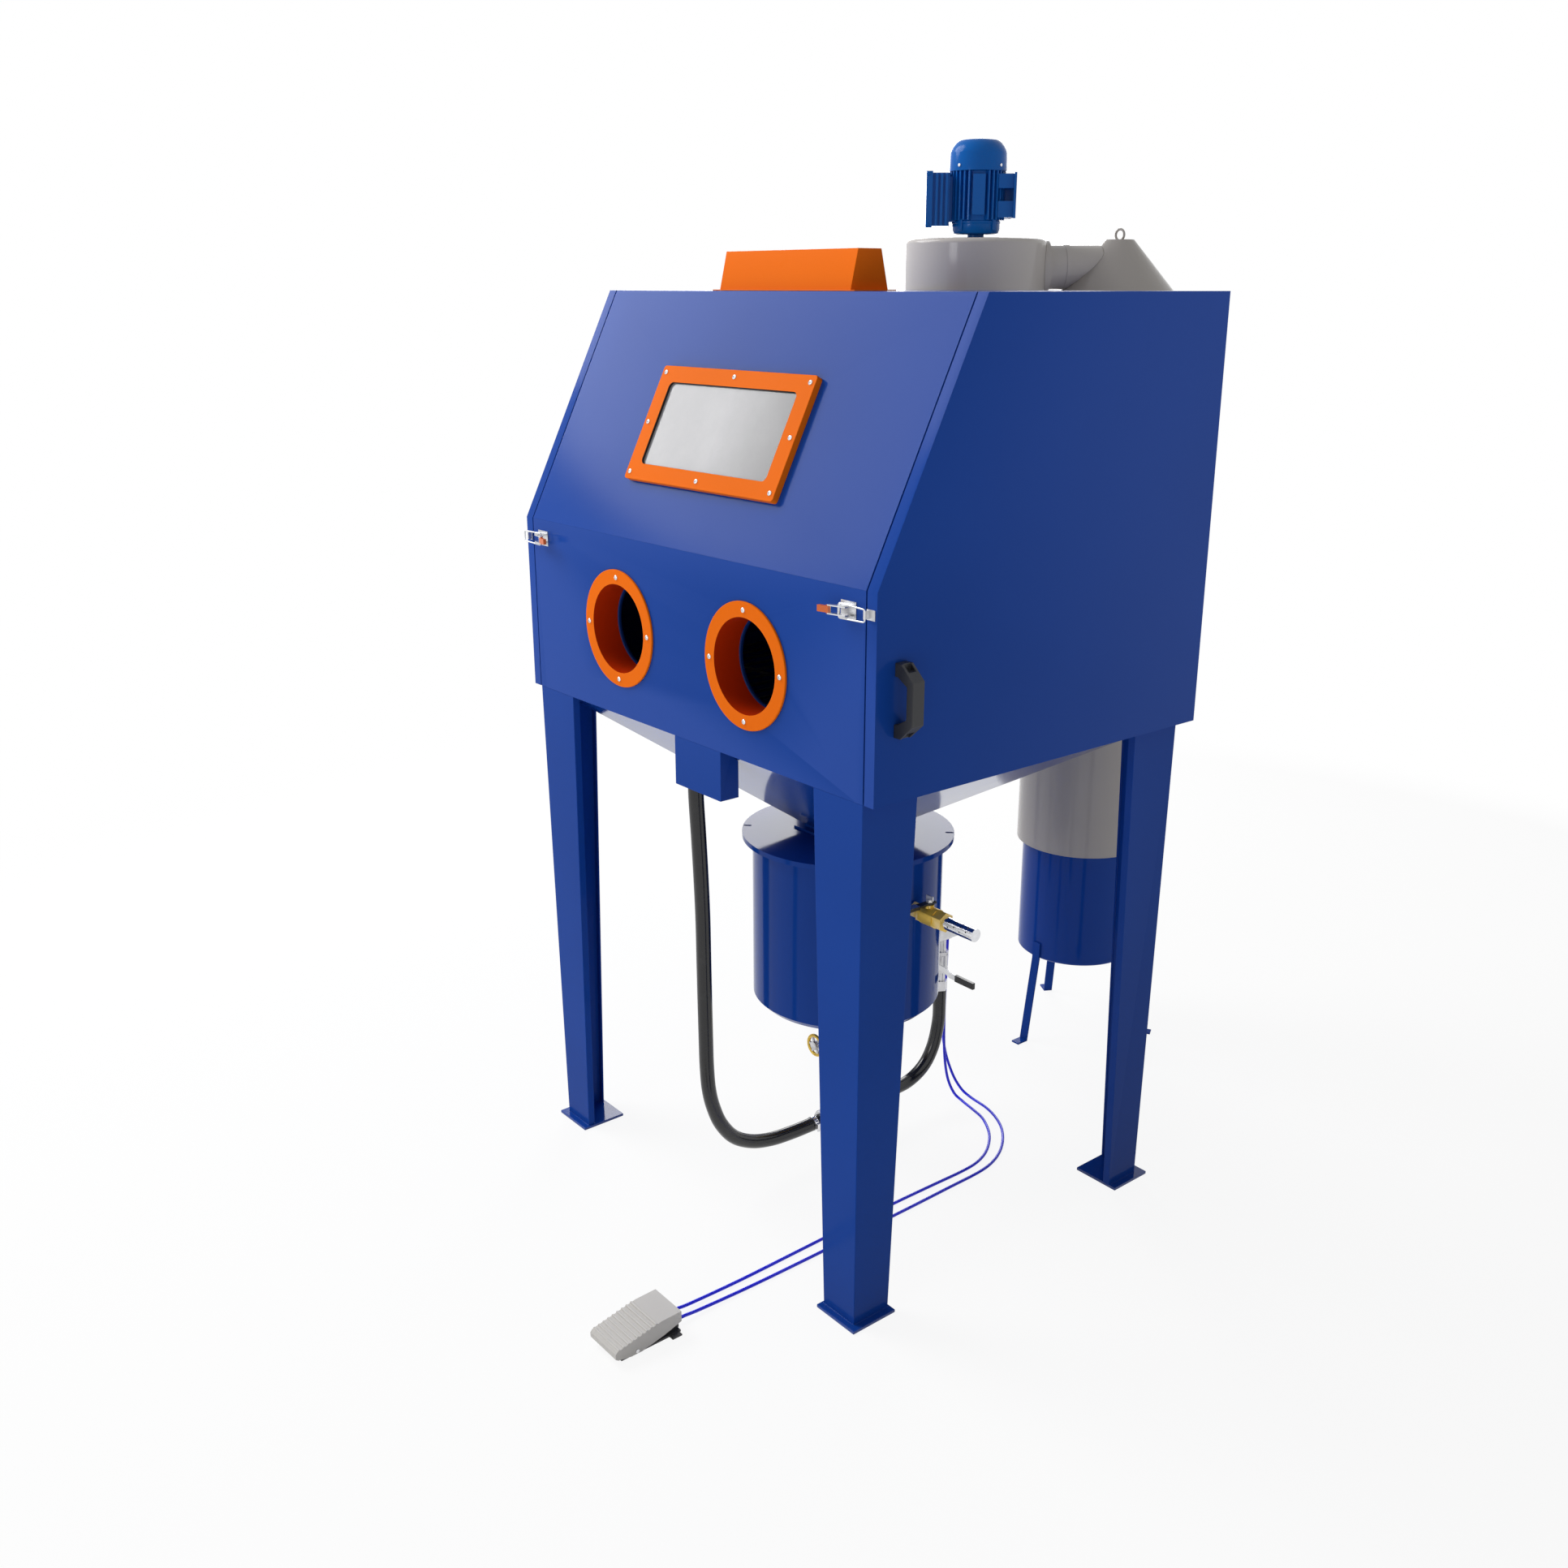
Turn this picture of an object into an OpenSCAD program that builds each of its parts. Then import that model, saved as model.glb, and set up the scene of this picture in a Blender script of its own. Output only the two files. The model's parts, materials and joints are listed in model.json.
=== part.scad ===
// Pressure blast cabinet: sheet-metal cabinet on four legs with two side doors, a blast pot
// under its hopper, a foot pedal, and an exhaust fan that feeds a dust collector behind it.
// Millimetres, +Z up. X runs across the front, the front panel faces -Y.

/* [Cabinet] */
// Overall width over the closed side doors
cab_w = 1000; // [900:10:1200]
// Overall depth of the cabinet
cab_d = 790; // [740:10:900]
// Height of the cabinet's bottom edge above the floor
leg_h = 960; // [930:10:1050]
// Height of the upright front panel
front_h = 331; // [320:1:380]
// Height of the cabinet from its bottom edge to its top
cab_h = 746; // [730:1:820]
// Setback of the top's front edge behind the front panel
top_setback = 208; // [180:1:214]
// Thickness of the cabinet's sheet
sheet = 2.5; // [2:0.5:4]
// Width of the flange round each side door opening
side_flange = 35; // [30:1:50]

/* [Side doors] */
// Depth of a door pan, which wraps round the cabinet's edge
door_wrap = 21.5; // [18:0.5:30]
// Gap between a door pan and the cabinet
door_gap = 3; // [2:0.5:5]
// Width of the foam seal inside a door
seal_w = 20; // [12:1:26]
// Radius of a hinge knuckle
knuckle_r = 5.5; // [4.5:0.5:7]
// Radius of a hinge pin
hinge_pin_r = 3; // [2:0.5:3.5]
// Length of one hinge
hinge_h = 84; // [60:6:120]
// Height of a door handle
handle_h = 116; // [100:2:150]
// Width of a door handle
handle_w = 24; // [18:1:32]
// How far a door handle stands out
handle_out = 40; // [34:1:50]
// Height of the door handle's middle above the cabinet's bottom edge
handle_z = 164; // [110:2:260]

/* [Arm openings] */
// Distance of an arm opening's centre from the middle of the cabinet
arm_x = 186; // [150:2:230]
// Height of the arm openings' centres above the cabinet's bottom edge
arm_z = 163.5; // [140:0.5:190]
// Outside diameter of an arm ring's flange
ring_d = 215; // [205:1:240]
// Inside diameter of an arm ring's collar
arm_d = 162; // [150:1:166]
// Thickness of an arm ring's collar
collar_t = 4; // [3:0.5:6]
// Thickness of an arm ring's flange
ring_t = 4; // [3:0.5:8]
// Length of the collar inside the cabinet
collar_len = 56; // [30:1:90]
// Diameter of the circle of ring screws
ring_pcd = 187; // [184:1:196]

/* [Window] */
// Width of the window frame
frame_w = 421; // [380:1:480]
// Height of the window frame along the slope
frame_h = 213; // [190:1:240]
// Width of the clear opening
view_w = 352; // [300:1:356]
// Height of the clear opening
view_h = 152; // [120:1:154]
// Depth of the window frame
frame_t = 12; // [10:0.5:18]
// Distance of the window's middle up the slope from the bend
window_s = 210.5; // [170:0.5:270]
// Thickness of the glass
glass_t = 5; // [4:0.5:6]
// Thickness of the gasket under the glass
gasket_t = 2.5; // [1:0.5:3]

/* [Latches] */
// Height of the latches above the cabinet's bottom edge
latch_z = 297; // [200:1:310]
// Distance of a latch's pivot from the edge of the front panel
latch_in = 35.5; // [34:0.5:50]
// Length of a latch lever from its pivot to its tip
lever_len = 46; // [44:1:60]
// Radius of the latch pivots
rivet_r = 2; // [1.5:0.5:2]

/* [Hopper and pot] */
// Depth of the upright collar at the hopper's top
hopper_lip = 11; // [8:1:16]
// Inset of the hopper's top behind the front panel
hopper_in = 24; // [23:1:40]
// Height of the hopper's sloping part
hopper_h = 241; // [200:1:260]
// Width of the hopper's square outlet
outlet_w = 120; // [100:2:150]
// Outside radius of the pot
pot_r = 187.5; // [170:0.5:195]
// Height of the pot's wall
pot_h = 341; // [300:1:360]
// Thickness of the pot's wall
pot_t = 5; // [4:0.5:8]
// Radius of the pot's lid
lid_r = 208; // [200:1:220]
// Thickness of the pot's lid
lid_t = 10; // [8:1:14]
// Depth of the pot's conical bottom
cone_h = 45; // [30:1:55]

/* [Fan and motor] */
// Radius of the fan housing
fan_r = 146.5; // [140:0.5:155]
// Height of the fan housing
fan_h = 160; // [150:1:180]
// Height of the fan housing's top above the cabinet's top
fan_up = 100; // [96:1:120]
// Distance of the fan's axis to the left of the cabinet's middle
fan_x = 245; // [220:1:270]
// Gap between the fan housing and the cabinet's back
fan_gap = 8.5; // [4:0.5:20]
// Radius of the motor's frame between its fins
motor_r = 46; // [44:1:52]
// Length of the motor's finned frame
motor_len = 92; // [80:1:110]
// Radius of the motor's cowl
cowl_r = 59; // [58:1:62]
// Height of the motor's cowl
cowl_h = 60; // [50:1:70]
// Radius of the motor's shaft
shaft_r = 7; // [6:0.5:9]

/* [Dust collector] */
// Radius of the collector's body
coll_r = 150; // [146:1:160]
// Distance of the collector's axis to the left of the cabinet's middle
coll_x = 72; // [50:1:90]
// Distance of the collector's axis behind the cabinet's back
coll_back = 407; // [395:1:430]
// Height of the body's bottom edge above the floor
body_z = 480; // [440:5:520]
// Height of the body's cone
coll_cone_h = 139; // [120:1:150]
// Radius of the drum
drum_r = 135; // [120:1:136]
// Height of the drum's bottom above the floor
drum_z = 205; // [160:5:260]
// Radius of the pipe from the fan to the collector
pipe_r = 44; // [40:1:46]
// Height of the pipe's axis above the cabinet's top
pipe_up = 45; // [44:1:48]

/* [Air and media lines] */
// Outside diameter of the black hoses
hose_d = 28; // [24:1:30]
// Outside diameter of the pilot tubes
tube_d = 6; // [4:1:8]
// Outside radius of the steel pipes
steel_r = 10.5; // [8:0.5:11]
// Outside radius of the silencer
silencer_r = 12.5; // [10:0.5:14]
// Length of the silencer
silencer_len = 76; // [60:1:100]

/* [Foot pedal] */
// Width of the pedal
pedal_w = 78; // [70:1:90]
// Length of the pedal
pedal_l = 130; // [120:1:150]
// Height of the pedal's back edge
pedal_back_h = 46; // [42:1:56]
// Height of the pedal's front edge
pedal_front_h = 27; // [25:1:34]

/* [Hidden] */
$fn = 48;

paint = [0.04, 0.14, 0.5];
orange = [0.9, 0.32, 0.04];
zinc = [0.75, 0.76, 0.78];
grey = [0.6, 0.58, 0.55];
black = [0.05, 0.05, 0.05];
brass = [0.85, 0.62, 0.2];
motor_blue = [0.02, 0.3, 0.6];

seat = 0.3;        // clearance between curved faces that seat on each other
run = 0.05;        // radial clearance of a running fit
cab_top = leg_h + cab_h;
shell_x = cab_w / 2 - door_wrap - door_gap;
mid_y = cab_d / 2;
slope_a = atan2(top_setback, cab_h - front_h);
slope_len = norm([top_setback, cab_h - front_h]);

// Pedal, hoses and tubes stand where they lie on the floor
pedal_x = 251;
pedal_y = -360;
toe = 5;
coll_y = cab_d + coll_back;
// The part's frame has its origin under the middle of everything but the cords
origin_y = (pedal_y - toe + coll_y + coll_r) / 2;

lid_top = leg_h - hopper_lip - hopper_h - 8;
pot_top = lid_top - lid_t;
pot_bottom = pot_top - pot_h;
fan_y = cab_d + fan_gap + fan_r;
fan_top = cab_top + fan_up;
fan_bottom = fan_top - fan_h;
pipe_z = cab_top + pipe_up;
pipe_dir = atan2(coll_y - fan_y, fan_x - coll_x);
pipe_span = norm([fan_x - coll_x, coll_y - fan_y]);

module place() {
    translate([0, -origin_y, 0]) children();
}

// Both sides of the object
module left_of() {
    mirror([1, 0, 0]) children();
}

// Side outline of the cabinet in Y and Z, moved inwards by t
function outline(t) = [
    [t, t],
    [t, front_h - t * tan(slope_a / 2)],
    [top_setback + t * tan(45 - slope_a / 2), cab_h - t],
    [cab_d - t, cab_h - t],
    [cab_d - t, t]];

// An outline in Y and Z extruded along X, from x0 to x1, above the cabinet's bottom edge
module prism(points, x0, x1, z = leg_h) {
    translate([x0, 0, z]) rotate([90, 0, 90]) linear_extrude(x1 - x0) polygon(points);
}

// Frame whose Y runs up the slope from the bend, and whose Z is the slope's normal
module on_slope() {
    translate([0, 0, leg_h + front_h]) rotate([90 - slope_a, 0, 0]) children();
}

// Cylinder along Y, from y0 to y1
module rod_y(r, y0, y1, x = 0, z = 0) {
    translate([x, y0, z]) rotate([-90, 0, 0]) cylinder(r = r, h = y1 - y0);
}

// Cylinder along X, from x0 to x1
module rod_x(r, x0, x1, y = 0, z = 0) {
    translate([x0, y, z]) rotate([0, 90, 0]) cylinder(r = r, h = x1 - x0);
}

// Centred rectangle with round corners
module round_rect(w, h, r) {
    square([w - 2 * r, h], center = true);
    square([w, h - 2 * r], center = true);
    for (x = [-1, 1], y = [-1, 1]) translate([x * (w / 2 - r), y * (h / 2 - r)]) circle(r);
}

// Round slot along X
module slot(length, r) {
    square([length - 2 * r, 2 * r], center = true);
    for (x = [-1, 1]) translate([x * (length / 2 - r), 0]) circle(r);
}

// Straight-sided loft between two rectangles, each [x0, y0, x1, y1], at heights z0 and z1
module loft(a, z0, b, z1) {
    function ring(q, z) = [[q[0], q[1], z], [q[2], q[1], z], [q[2], q[3], z], [q[0], q[3], z]];
    polyhedron(concat(ring(a, z0), ring(b, z1)),
        [[0, 1, 2, 3], [7, 6, 5, 4], [1, 0, 4, 5], [2, 1, 5, 6], [3, 2, 6, 7], [0, 3, 7, 4]]);
}

/* ---- cabinet ---- */

lamp_half = 175;       // half length of the lamp housing
lamp_front = 228;      // front of the lamp housing
lamp_back = 311;       // back of the lamp housing
lamp_h = 66;           // height of the lamp housing
lamp_lean = 16;        // lean of its front and back
lamp_sheet = 2;
duct_half = 70;        // half width of the fan's inlet duct
duct_h = 86;           // height of the fan's inlet duct
duct_wall = 2.5;
hopper_x = shell_x - 17.5;  // half width of the hopper's top

seam = 0.06;           // half the hairline between two sheets

function towards(a, b) = a + seam * (b - a) / norm(b - a);

// Sheets that fill the band between the outline moved in by a and by b, from x0 to x1
module band(a, b, x0, x1) {
    for (i = [0:4])
        let (j = (i + 1) % 5, p = outline(a)[i], q = outline(a)[j], u = outline(b)[i], v = outline(b)[j])
            prism([towards(p, q), towards(q, p), towards(v, u), towards(u, v)], x0, x1);
}

module cabinet_shell() color(paint) place() difference() {
    union() {
        band(0, sheet, -shell_x, shell_x);
        for (x = [-shell_x, shell_x - sheet]) band(sheet + seam, side_flange, x, x + sheet);
    }
    for (s = [-1, 1])
        rod_y(arm_d / 2 + collar_t + seat, -1, sheet + 1, s * arm_x, leg_h + arm_z);
    on_slope() translate([0, window_s, -sheet - 1]) linear_extrude(sheet + 2)
        round_rect(view_w - 8, view_h - 8, 8);
    translate([-lamp_half + 12, lamp_front + 14, cab_top - sheet - 1])
        cube([2 * (lamp_half - 12), lamp_back - lamp_front - 28, sheet + 2]);
    translate([-hopper_x + sheet, hopper_in + sheet, leg_h - 1])
        cube([2 * (hopper_x - sheet), cab_d - 2 * (hopper_in + sheet), sheet + 2]);
    for (s = [-1, 1]) translate([s * (hopper_x - sheet) - seam, -1, leg_h - 1])
        cube([2 * seam, cab_d + 2, sheet + 1]);
    translate([-fan_x - duct_half + duct_wall, cab_d - sheet - 1, fan_bottom - duct_h + duct_wall])
        cube([2 * (duct_half - duct_wall), sheet + 2, duct_h - 2 * duct_wall]);
}

hopper_top = [-hopper_x, hopper_in, hopper_x, cab_d - hopper_in];
hopper_low = [-outlet_w / 2, mid_y - outlet_w / 2, outlet_w / 2, mid_y + outlet_w / 2];

function grow(q, t) = [q[0] - t, q[1] - t, q[2] + t, q[3] + t];

// The hopper's outside, grown by t
module hopper_form(t) {
    z1 = leg_h - hopper_lip;
    translate([-hopper_x - t, hopper_in - t, z1])
        cube([2 * (hopper_x + t), cab_d - 2 * (hopper_in - t), hopper_lip]);
    loft(grow(hopper_low, t), z1 - hopper_h, grow(hopper_top, t), z1);
}

module hopper() color(paint) place() difference() {
    union() {
        hopper_form(0);
        translate([hopper_low[0], hopper_low[1], lid_top])
            cube([outlet_w, outlet_w, leg_h - hopper_lip - hopper_h - lid_top]);
        translate([hopper_low[0] - 15, hopper_low[1] - 15, lid_top])
            cube([outlet_w + 30, outlet_w + 30, 4]);
    }
    translate([0, 0, 0.01]) hopper_form(-sheet);
    translate([-hopper_x + sheet, hopper_in + sheet, leg_h - hopper_lip - 0.01])
        cube([2 * (hopper_x - sheet), cab_d - 2 * (hopper_in + sheet), hopper_lip + 1]);
    translate([hopper_low[0] + sheet, hopper_low[1] + sheet, lid_top - 1])
        cube([outlet_w - 2 * sheet, outlet_w - 2 * sheet, hopper_h]);
}

leg_t = 4;        // thickness of a leg's sheet
leg_lip = 15;     // width of its inner flanges
plate_t = 6;      // thickness of a foot plate
plate_w = 98;     // width of a foot plate
back_in = 18;     // how far the rear legs stand in from the back

// Section of a leg: an angle with both free edges turned in
function leg_section(w, z, dx, dy, lip) = [for (p = [
    [0, 0], [w, 0], [w, lip], [w - leg_t, lip], [w - leg_t, leg_t], [leg_t, leg_t],
    [leg_t, w - leg_t], [leg_lip, w - leg_t], [leg_lip, w], [0, w]]) [-p[0] - dx, p[1] + dy, z]];

// The right front leg, which tapers towards its foot plate; "out" moves its foot outwards in Y
module leg(out, lip) {
    top_w = 117;
    foot_w = 80;
    n = 10;
    points = concat(leg_section(foot_w, plate_t, 10, 9 - out / 2, lip),
        leg_section(top_w, leg_h, 0, 0, lip));
    polyhedron(points, concat(
        [[for (i = [0:n - 1]) n - 1 - i]], [[for (i = [0:n - 1]) n + i]],
        [for (i = [0:n - 1]) [i, (i + 1) % n, (i + 1) % n + n, i + n]]));
    translate([4 - plate_w, -4 - out, 0]) cube([plate_w, plate_w, plate_t]);
}

module leg_at(sx, back) color(paint) place()
    mirror([sx < 0 ? 1 : 0, 0, 0])
        translate([shell_x, back ? cab_d - back_in : 0, 0]) mirror([0, back ? 1 : 0, 0])
            leg(back ? 14 : 0, back ? hopper_in - back_in - seat : leg_lip);

module leg_front_left() leg_at(-1, false);
module leg_front_right() leg_at(1, false);
module leg_rear_left() leg_at(-1, true);
module leg_rear_right() leg_at(1, true);

/* ---- window ---- */

pane_w = view_w + 20;
pane_h = view_h + 20;

module window_frame() color(orange) place() on_slope() translate([0, window_s, 0])
    difference() {
        linear_extrude(frame_t) round_rect(frame_w, frame_h, 6);
        translate([0, 0, -1]) linear_extrude(frame_t + 2) round_rect(view_w, view_h, 10);
        translate([0, 0, -1]) linear_extrude(gasket_t + glass_t + 1)
            round_rect(pane_w + 2, pane_h + 2, 4);
    }

module window_gasket() color(black) place() on_slope() translate([0, window_s, 0])
    linear_extrude(gasket_t) difference() {
        round_rect(pane_w, pane_h, 4);
        round_rect(view_w - 4, view_h - 4, 8);
    }

module window_glass() color([0.8, 0.85, 0.87, 0.5]) place() on_slope()
    translate([0, window_s, gasket_t]) linear_extrude(glass_t) round_rect(pane_w, pane_h, 4);

screw_r = 4.5;
screw_h = 2.4;

// A dome-headed screw standing on z = 0
module screw_head() {
    rotate_extrude($fn = 24) polygon([[0, 0], [screw_r, 0], [screw_r, 0.8], [2.6, screw_h],
        [0, screw_h]]);
}

module panel_screws() color(zinc) place() {
    for (s = [-1, 1], a = [0:90:270])
        translate([s * arm_x + ring_pcd / 2 * cos(a), -ring_t, leg_h + arm_z + ring_pcd / 2 * sin(a)])
            rotate([90, 0, 0]) screw_head();
    on_slope() for (i = [-1:1], j = [-1:1]) if (i != 0 || j != 0)
        translate([i * (frame_w / 2 - 12), window_s + j * (frame_h / 2 - 13), frame_t])
            screw_head();
}

/* ---- arm openings and hose box ---- */

module arm_ring(x) color(orange) place() translate([x, 0, leg_h + arm_z])
    rotate([-90, 0, 0]) rotate_extrude($fn = 72) polygon([
        [arm_d / 2, -ring_t], [ring_d / 2 - 1, -ring_t], [ring_d / 2, -ring_t + 1],
        [ring_d / 2, 0], [arm_d / 2 + collar_t, 0], [arm_d / 2 + collar_t, collar_len],
        [arm_d / 2 - 2, collar_len], [arm_d / 2 - 2, collar_len - 5],
        [arm_d / 2, collar_len - 7]]);

module arm_ring_left() arm_ring(-arm_x);
module arm_ring_right() arm_ring(arm_x);

box_x0 = -20;        // left side of the hose box
box_x1 = 114;        // right side of the hose box
box_d = 39;          // depth of the hose box
box_z0 = leg_h - 89.5;
box_z1 = leg_h;
hose_x = 10;         // where the blast hose enters the box
hose_y = 22;
hose_top = box_z0 + 12;

module hose_box() color(paint) place() difference() {
    union() {
        difference() {
            translate([box_x0, 0, box_z0]) cube([box_x1 - box_x0, box_d, box_z1 - box_z0]);
            translate([box_x0 + 2, 2, box_z0 + 2])
                cube([box_x1 - box_x0 - 4, box_d - 4, box_z1 - box_z0 - 4]);
        }
        translate([hose_x - 17, hose_y - 17, hose_top]) cube([34, box_d - hose_y + 16, 20]);
    }
    translate([hose_x, hose_y, box_z0 - 1]) cylinder(r = hose_d / 2 + seat, h = 4);
    hopper_form(seat);
}

/* ---- lamp ---- */

// Side outline of the lamp housing, moved inwards by t
function lamp_outline(t) = [
    [lamp_front + t, -0.01], [lamp_front + lamp_lean + t, lamp_h - t],
    [lamp_back - lamp_lean - t, lamp_h - t], [lamp_back - t, -0.01]];

module lamp_housing() color(orange) place() {
    difference() {
        union() {
            prism(lamp_outline(0), -lamp_half, lamp_half, cab_top + 0.01);
            translate([-lamp_half - 15, lamp_front - 5, cab_top])
                cube([2 * lamp_half + 30, lamp_back - lamp_front + 10, lamp_sheet]);
        }
        prism([[lamp_front + lamp_sheet, -1], [lamp_front + lamp_lean, lamp_h - lamp_sheet],
            [lamp_back - lamp_lean, lamp_h - lamp_sheet], [lamp_back - lamp_sheet, -1]],
            -lamp_half + lamp_sheet, lamp_half - lamp_sheet, cab_top);
    }
}

lamp_y = (lamp_front + lamp_back) / 2;

module lamp_glass() color([0.85, 0.9, 0.92, 0.5]) place()
    translate([-lamp_half + 5, lamp_front + 7, cab_top])
        cube([2 * lamp_half - 10, lamp_back - lamp_front - 14, 4]);

module lamp_tube() color([0.95, 0.95, 0.92]) place() {
    lamp_end = 0.8 * lamp_half;
    rod_x(13, -lamp_end, lamp_end, lamp_y, cab_top + 30);
    for (s = [0, 1]) mirror([s, 0, 0]) translate([lamp_end, lamp_y - 14, cab_top + 14])
        cube([lamp_half - lamp_sheet - lamp_end, 28, 34]);
}

/* ---- inside the cabinet ---- */

grate_z = leg_h + sheet;
grate_x = shell_x - sheet - 6;
bar_pitch = 46;
rail_h = 5;            // height of the grate's cross rails

// Bars on edge over cross rails
module work_grate() color([0.3, 0.3, 0.32]) place() {
    y0 = sheet + 6;
    length = cab_d - 2 * y0;
    for (k = [0:4]) translate([-grate_x, y0 + k * (length - 6) / 4, grate_z])
        cube([2 * grate_x, 6, rail_h - 2 * seam]);
    for (x = [-9:9]) translate([x * bar_pitch - 2, y0, grate_z + rail_h]) cube([4, length, 5]);
    for (x = [-grate_x, grate_x - 4]) translate([x, y0, grate_z + rail_h]) cube([4, length, 5]);
}

// Nozzle in its holder, lying across the grate's bars
module blast_nozzle() color(grey) place()
    translate([90, mid_y + 40, grate_z + 10 + 17 + seat]) rotate([0, 90, 25]) difference() {
        rotate_extrude() polygon([[0, 0], [12, 0], [17, 4], [17, 60], [14, 66], [14, 95], [9, 140],
            [0, 140]]);
        translate([0, 0, -1]) cylinder(r = 4, h = 142);
    }

/* ---- side doors ---- */

door_face = cab_w / 2 - sheet;

module door_pan() {
    x0 = cab_w / 2 - door_wrap;
    difference() {
        prism(outline(0), x0, cab_w / 2);
        prism(outline(sheet), x0 - 1, door_face);
    }
    hinge_leaves(false);
}

module door_right() color(paint) place() door_pan();
module door_left() color(paint) place() left_of() door_pan();

module seal_ring() difference() {
    prism(outline(sheet + 1.5), shell_x + seat, door_face);
    prism(outline(sheet + 1.5 + seal_w), shell_x - 1, door_face + 1);
}

module door_seal_right() color(black) place() seal_ring();
module door_seal_left() color(black) place() left_of() seal_ring();

hinge_x = shell_x + door_gap / 2;
hinge_y = cab_d + knuckle_r + 0.5;
leaf_t = 2.5;

// The cabinet's leaves carry the pins; the doors' leaves turn on them
module hinge_leaves(fixed) {
    third = hinge_h / 3;
    for (z = [110, cab_h / 2, cab_h - 110]) translate([hinge_x, 0, leg_h + z - hinge_h / 2]) {
        if (fixed) {
            for (k = [0, 2]) translate([0, 0, k * third]) {
                translate([0, hinge_y, 0]) cylinder(r = knuckle_r, h = third - 0.5);
                translate([-30, cab_d, 0]) cube([30 - door_gap / 2 - 1, leaf_t, third - 0.5]);
                translate([-knuckle_r, cab_d, 0]) cube([knuckle_r - 2.5, knuckle_r, third - 0.5]);
            }
            translate([-30, cab_d, 0]) cube([18, leaf_t, hinge_h - 0.5]);
            translate([0, hinge_y, 0]) cylinder(r = hinge_pin_r, h = hinge_h - 0.5);
        } else difference() {
            union() {
                translate([0, hinge_y, third + 0.25]) cylinder(r = knuckle_r, h = third - 1);
                translate([2.5, cab_d - 1, third + 0.25]) cube([door_wrap - 3, leaf_t + 1, third - 1]);
                translate([2.5, cab_d, third + 0.25]) cube([knuckle_r - 2.5, knuckle_r, third - 1]);
            }
            translate([0, hinge_y, 0]) cylinder(r = hinge_pin_r + run, h = hinge_h);
        }
    }
}

module door_hinges() color(paint) place() {
    hinge_leaves(true);
    left_of() hinge_leaves(true);
}

// Bridge handle: its outline in X and Z, cut by the finger gap, with an open pocket at each end
module handle() {
    y = 50;
    translate([cab_w / 2, y + handle_w / 2, leg_h + handle_z - handle_h / 2]) rotate([90, 0, 0])
        difference() {
            linear_extrude(handle_w) difference() {
                polygon([[0, 0], [14, 0], [handle_out, 24], [handle_out, handle_h - 24],
                    [14, handle_h], [0, handle_h]]);
                polygon([[-1, 21], [6, 21], [handle_out - 14, 33], [handle_out - 14, handle_h - 33],
                    [6, handle_h - 21], [-1, handle_h - 21]]);
            }
            for (z = [0, handle_h]) translate([20, z, handle_w / 2]) cube([16, 22, handle_w - 9], center = true);
        }
}

module door_handle_right() color([0.12, 0.12, 0.13]) place() handle();
module door_handle_left() color([0.12, 0.12, 0.13]) place() left_of() handle();

/* ---- latches ---- */

latch_x = shell_x - latch_in;     // the lever's pivot
pivot_y = -11;
hook_dx = -10;                    // the hook's pivot from the lever's pivot
hook_dy = -2;
cheek_z = 5.4;                    // inner face of a lever cheek
cheek_t = 2;
ear_z = cheek_z + cheek_t + 0.4;  // inner face of a base ear
foot_z = 5.5;                     // inner edge of a base's foot
strike_x = cab_w / 2 - door_wrap + 2;
lip_top = 10;

module at_latch() {
    translate([latch_x, 0, leg_h + latch_z]) children();
}

// A plate drawn in X and Y, lying between z0 and z0 + t
module plate_xy(z0, t) {
    translate([0, 0, z0]) linear_extrude(t) children();
}

module latch_base() at_latch() {
    translate([-18, -2, -foot_z + 2 * seam]) cube([34, 2, 2 * (foot_z - 2 * seam)]);
    for (s = [0, 1]) mirror([0, 0, s]) {
        translate([-18, -2, foot_z]) cube([34, 2, 14 - foot_z]);
        plate_xy(ear_z, 2) difference() {
            polygon([[-12, -1], [12, -1], [6, pivot_y - 5], [-6, pivot_y - 5]]);
            translate([0, pivot_y]) circle(rivet_r + run);
        }
    }
}

module latch_lever() at_latch() {
    for (s = [-1, 1]) {
        plate_xy(s > 0 ? cheek_z : -cheek_z - cheek_t, cheek_t) polygon([
            [7, pivot_y + 4], [7, pivot_y - 5], [-10, pivot_y - 8], [-26, pivot_y - 11.5],
            [-27, pivot_y - 6], [-14, pivot_y + 2], [-4, pivot_y + 5], [3, pivot_y + 6]]);
        translate([0, pivot_y, s > 0 ? cheek_z + 0.7 : -ear_z - 3])
            cylinder(r = rivet_r, h = ear_z + 2.3 - cheek_z, $fn = 24);
    }
    translate([0, pivot_y, 0]) rotate([0, 0, 10]) {
        translate([-30, -6, -cheek_z - 1.5]) cube([8, 2, 2 * cheek_z + 3]);
        translate([-lever_len, -8, -5]) cube([lever_len - 24, 6, 10]);
    }
    translate([hook_dx, pivot_y + hook_dy, -cheek_z - 1]) cylinder(r = rivet_r, h = 2 * cheek_z + 2, $fn = 24);
}

module latch_hook() at_latch() {
    reach = strike_x + 9 - latch_x;
    difference() {
        union() {
            translate([hook_dx, pivot_y + hook_dy - 1.5, -4]) cube([reach - hook_dx, 3, 8]);
            translate([reach - 4, pivot_y + hook_dy - 1.5, -4])
                cube([4, -pivot_y - hook_dy + 1.5 - lip_top - 0.4, 8]);
            translate([hook_dx, pivot_y + hook_dy, -4.6]) cylinder(r = 4.2, h = 9.2, $fn = 24);
        }
        translate([hook_dx, pivot_y + hook_dy, -6]) cylinder(r = rivet_r + run, h = 12, $fn = 24);
    }
}

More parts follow.
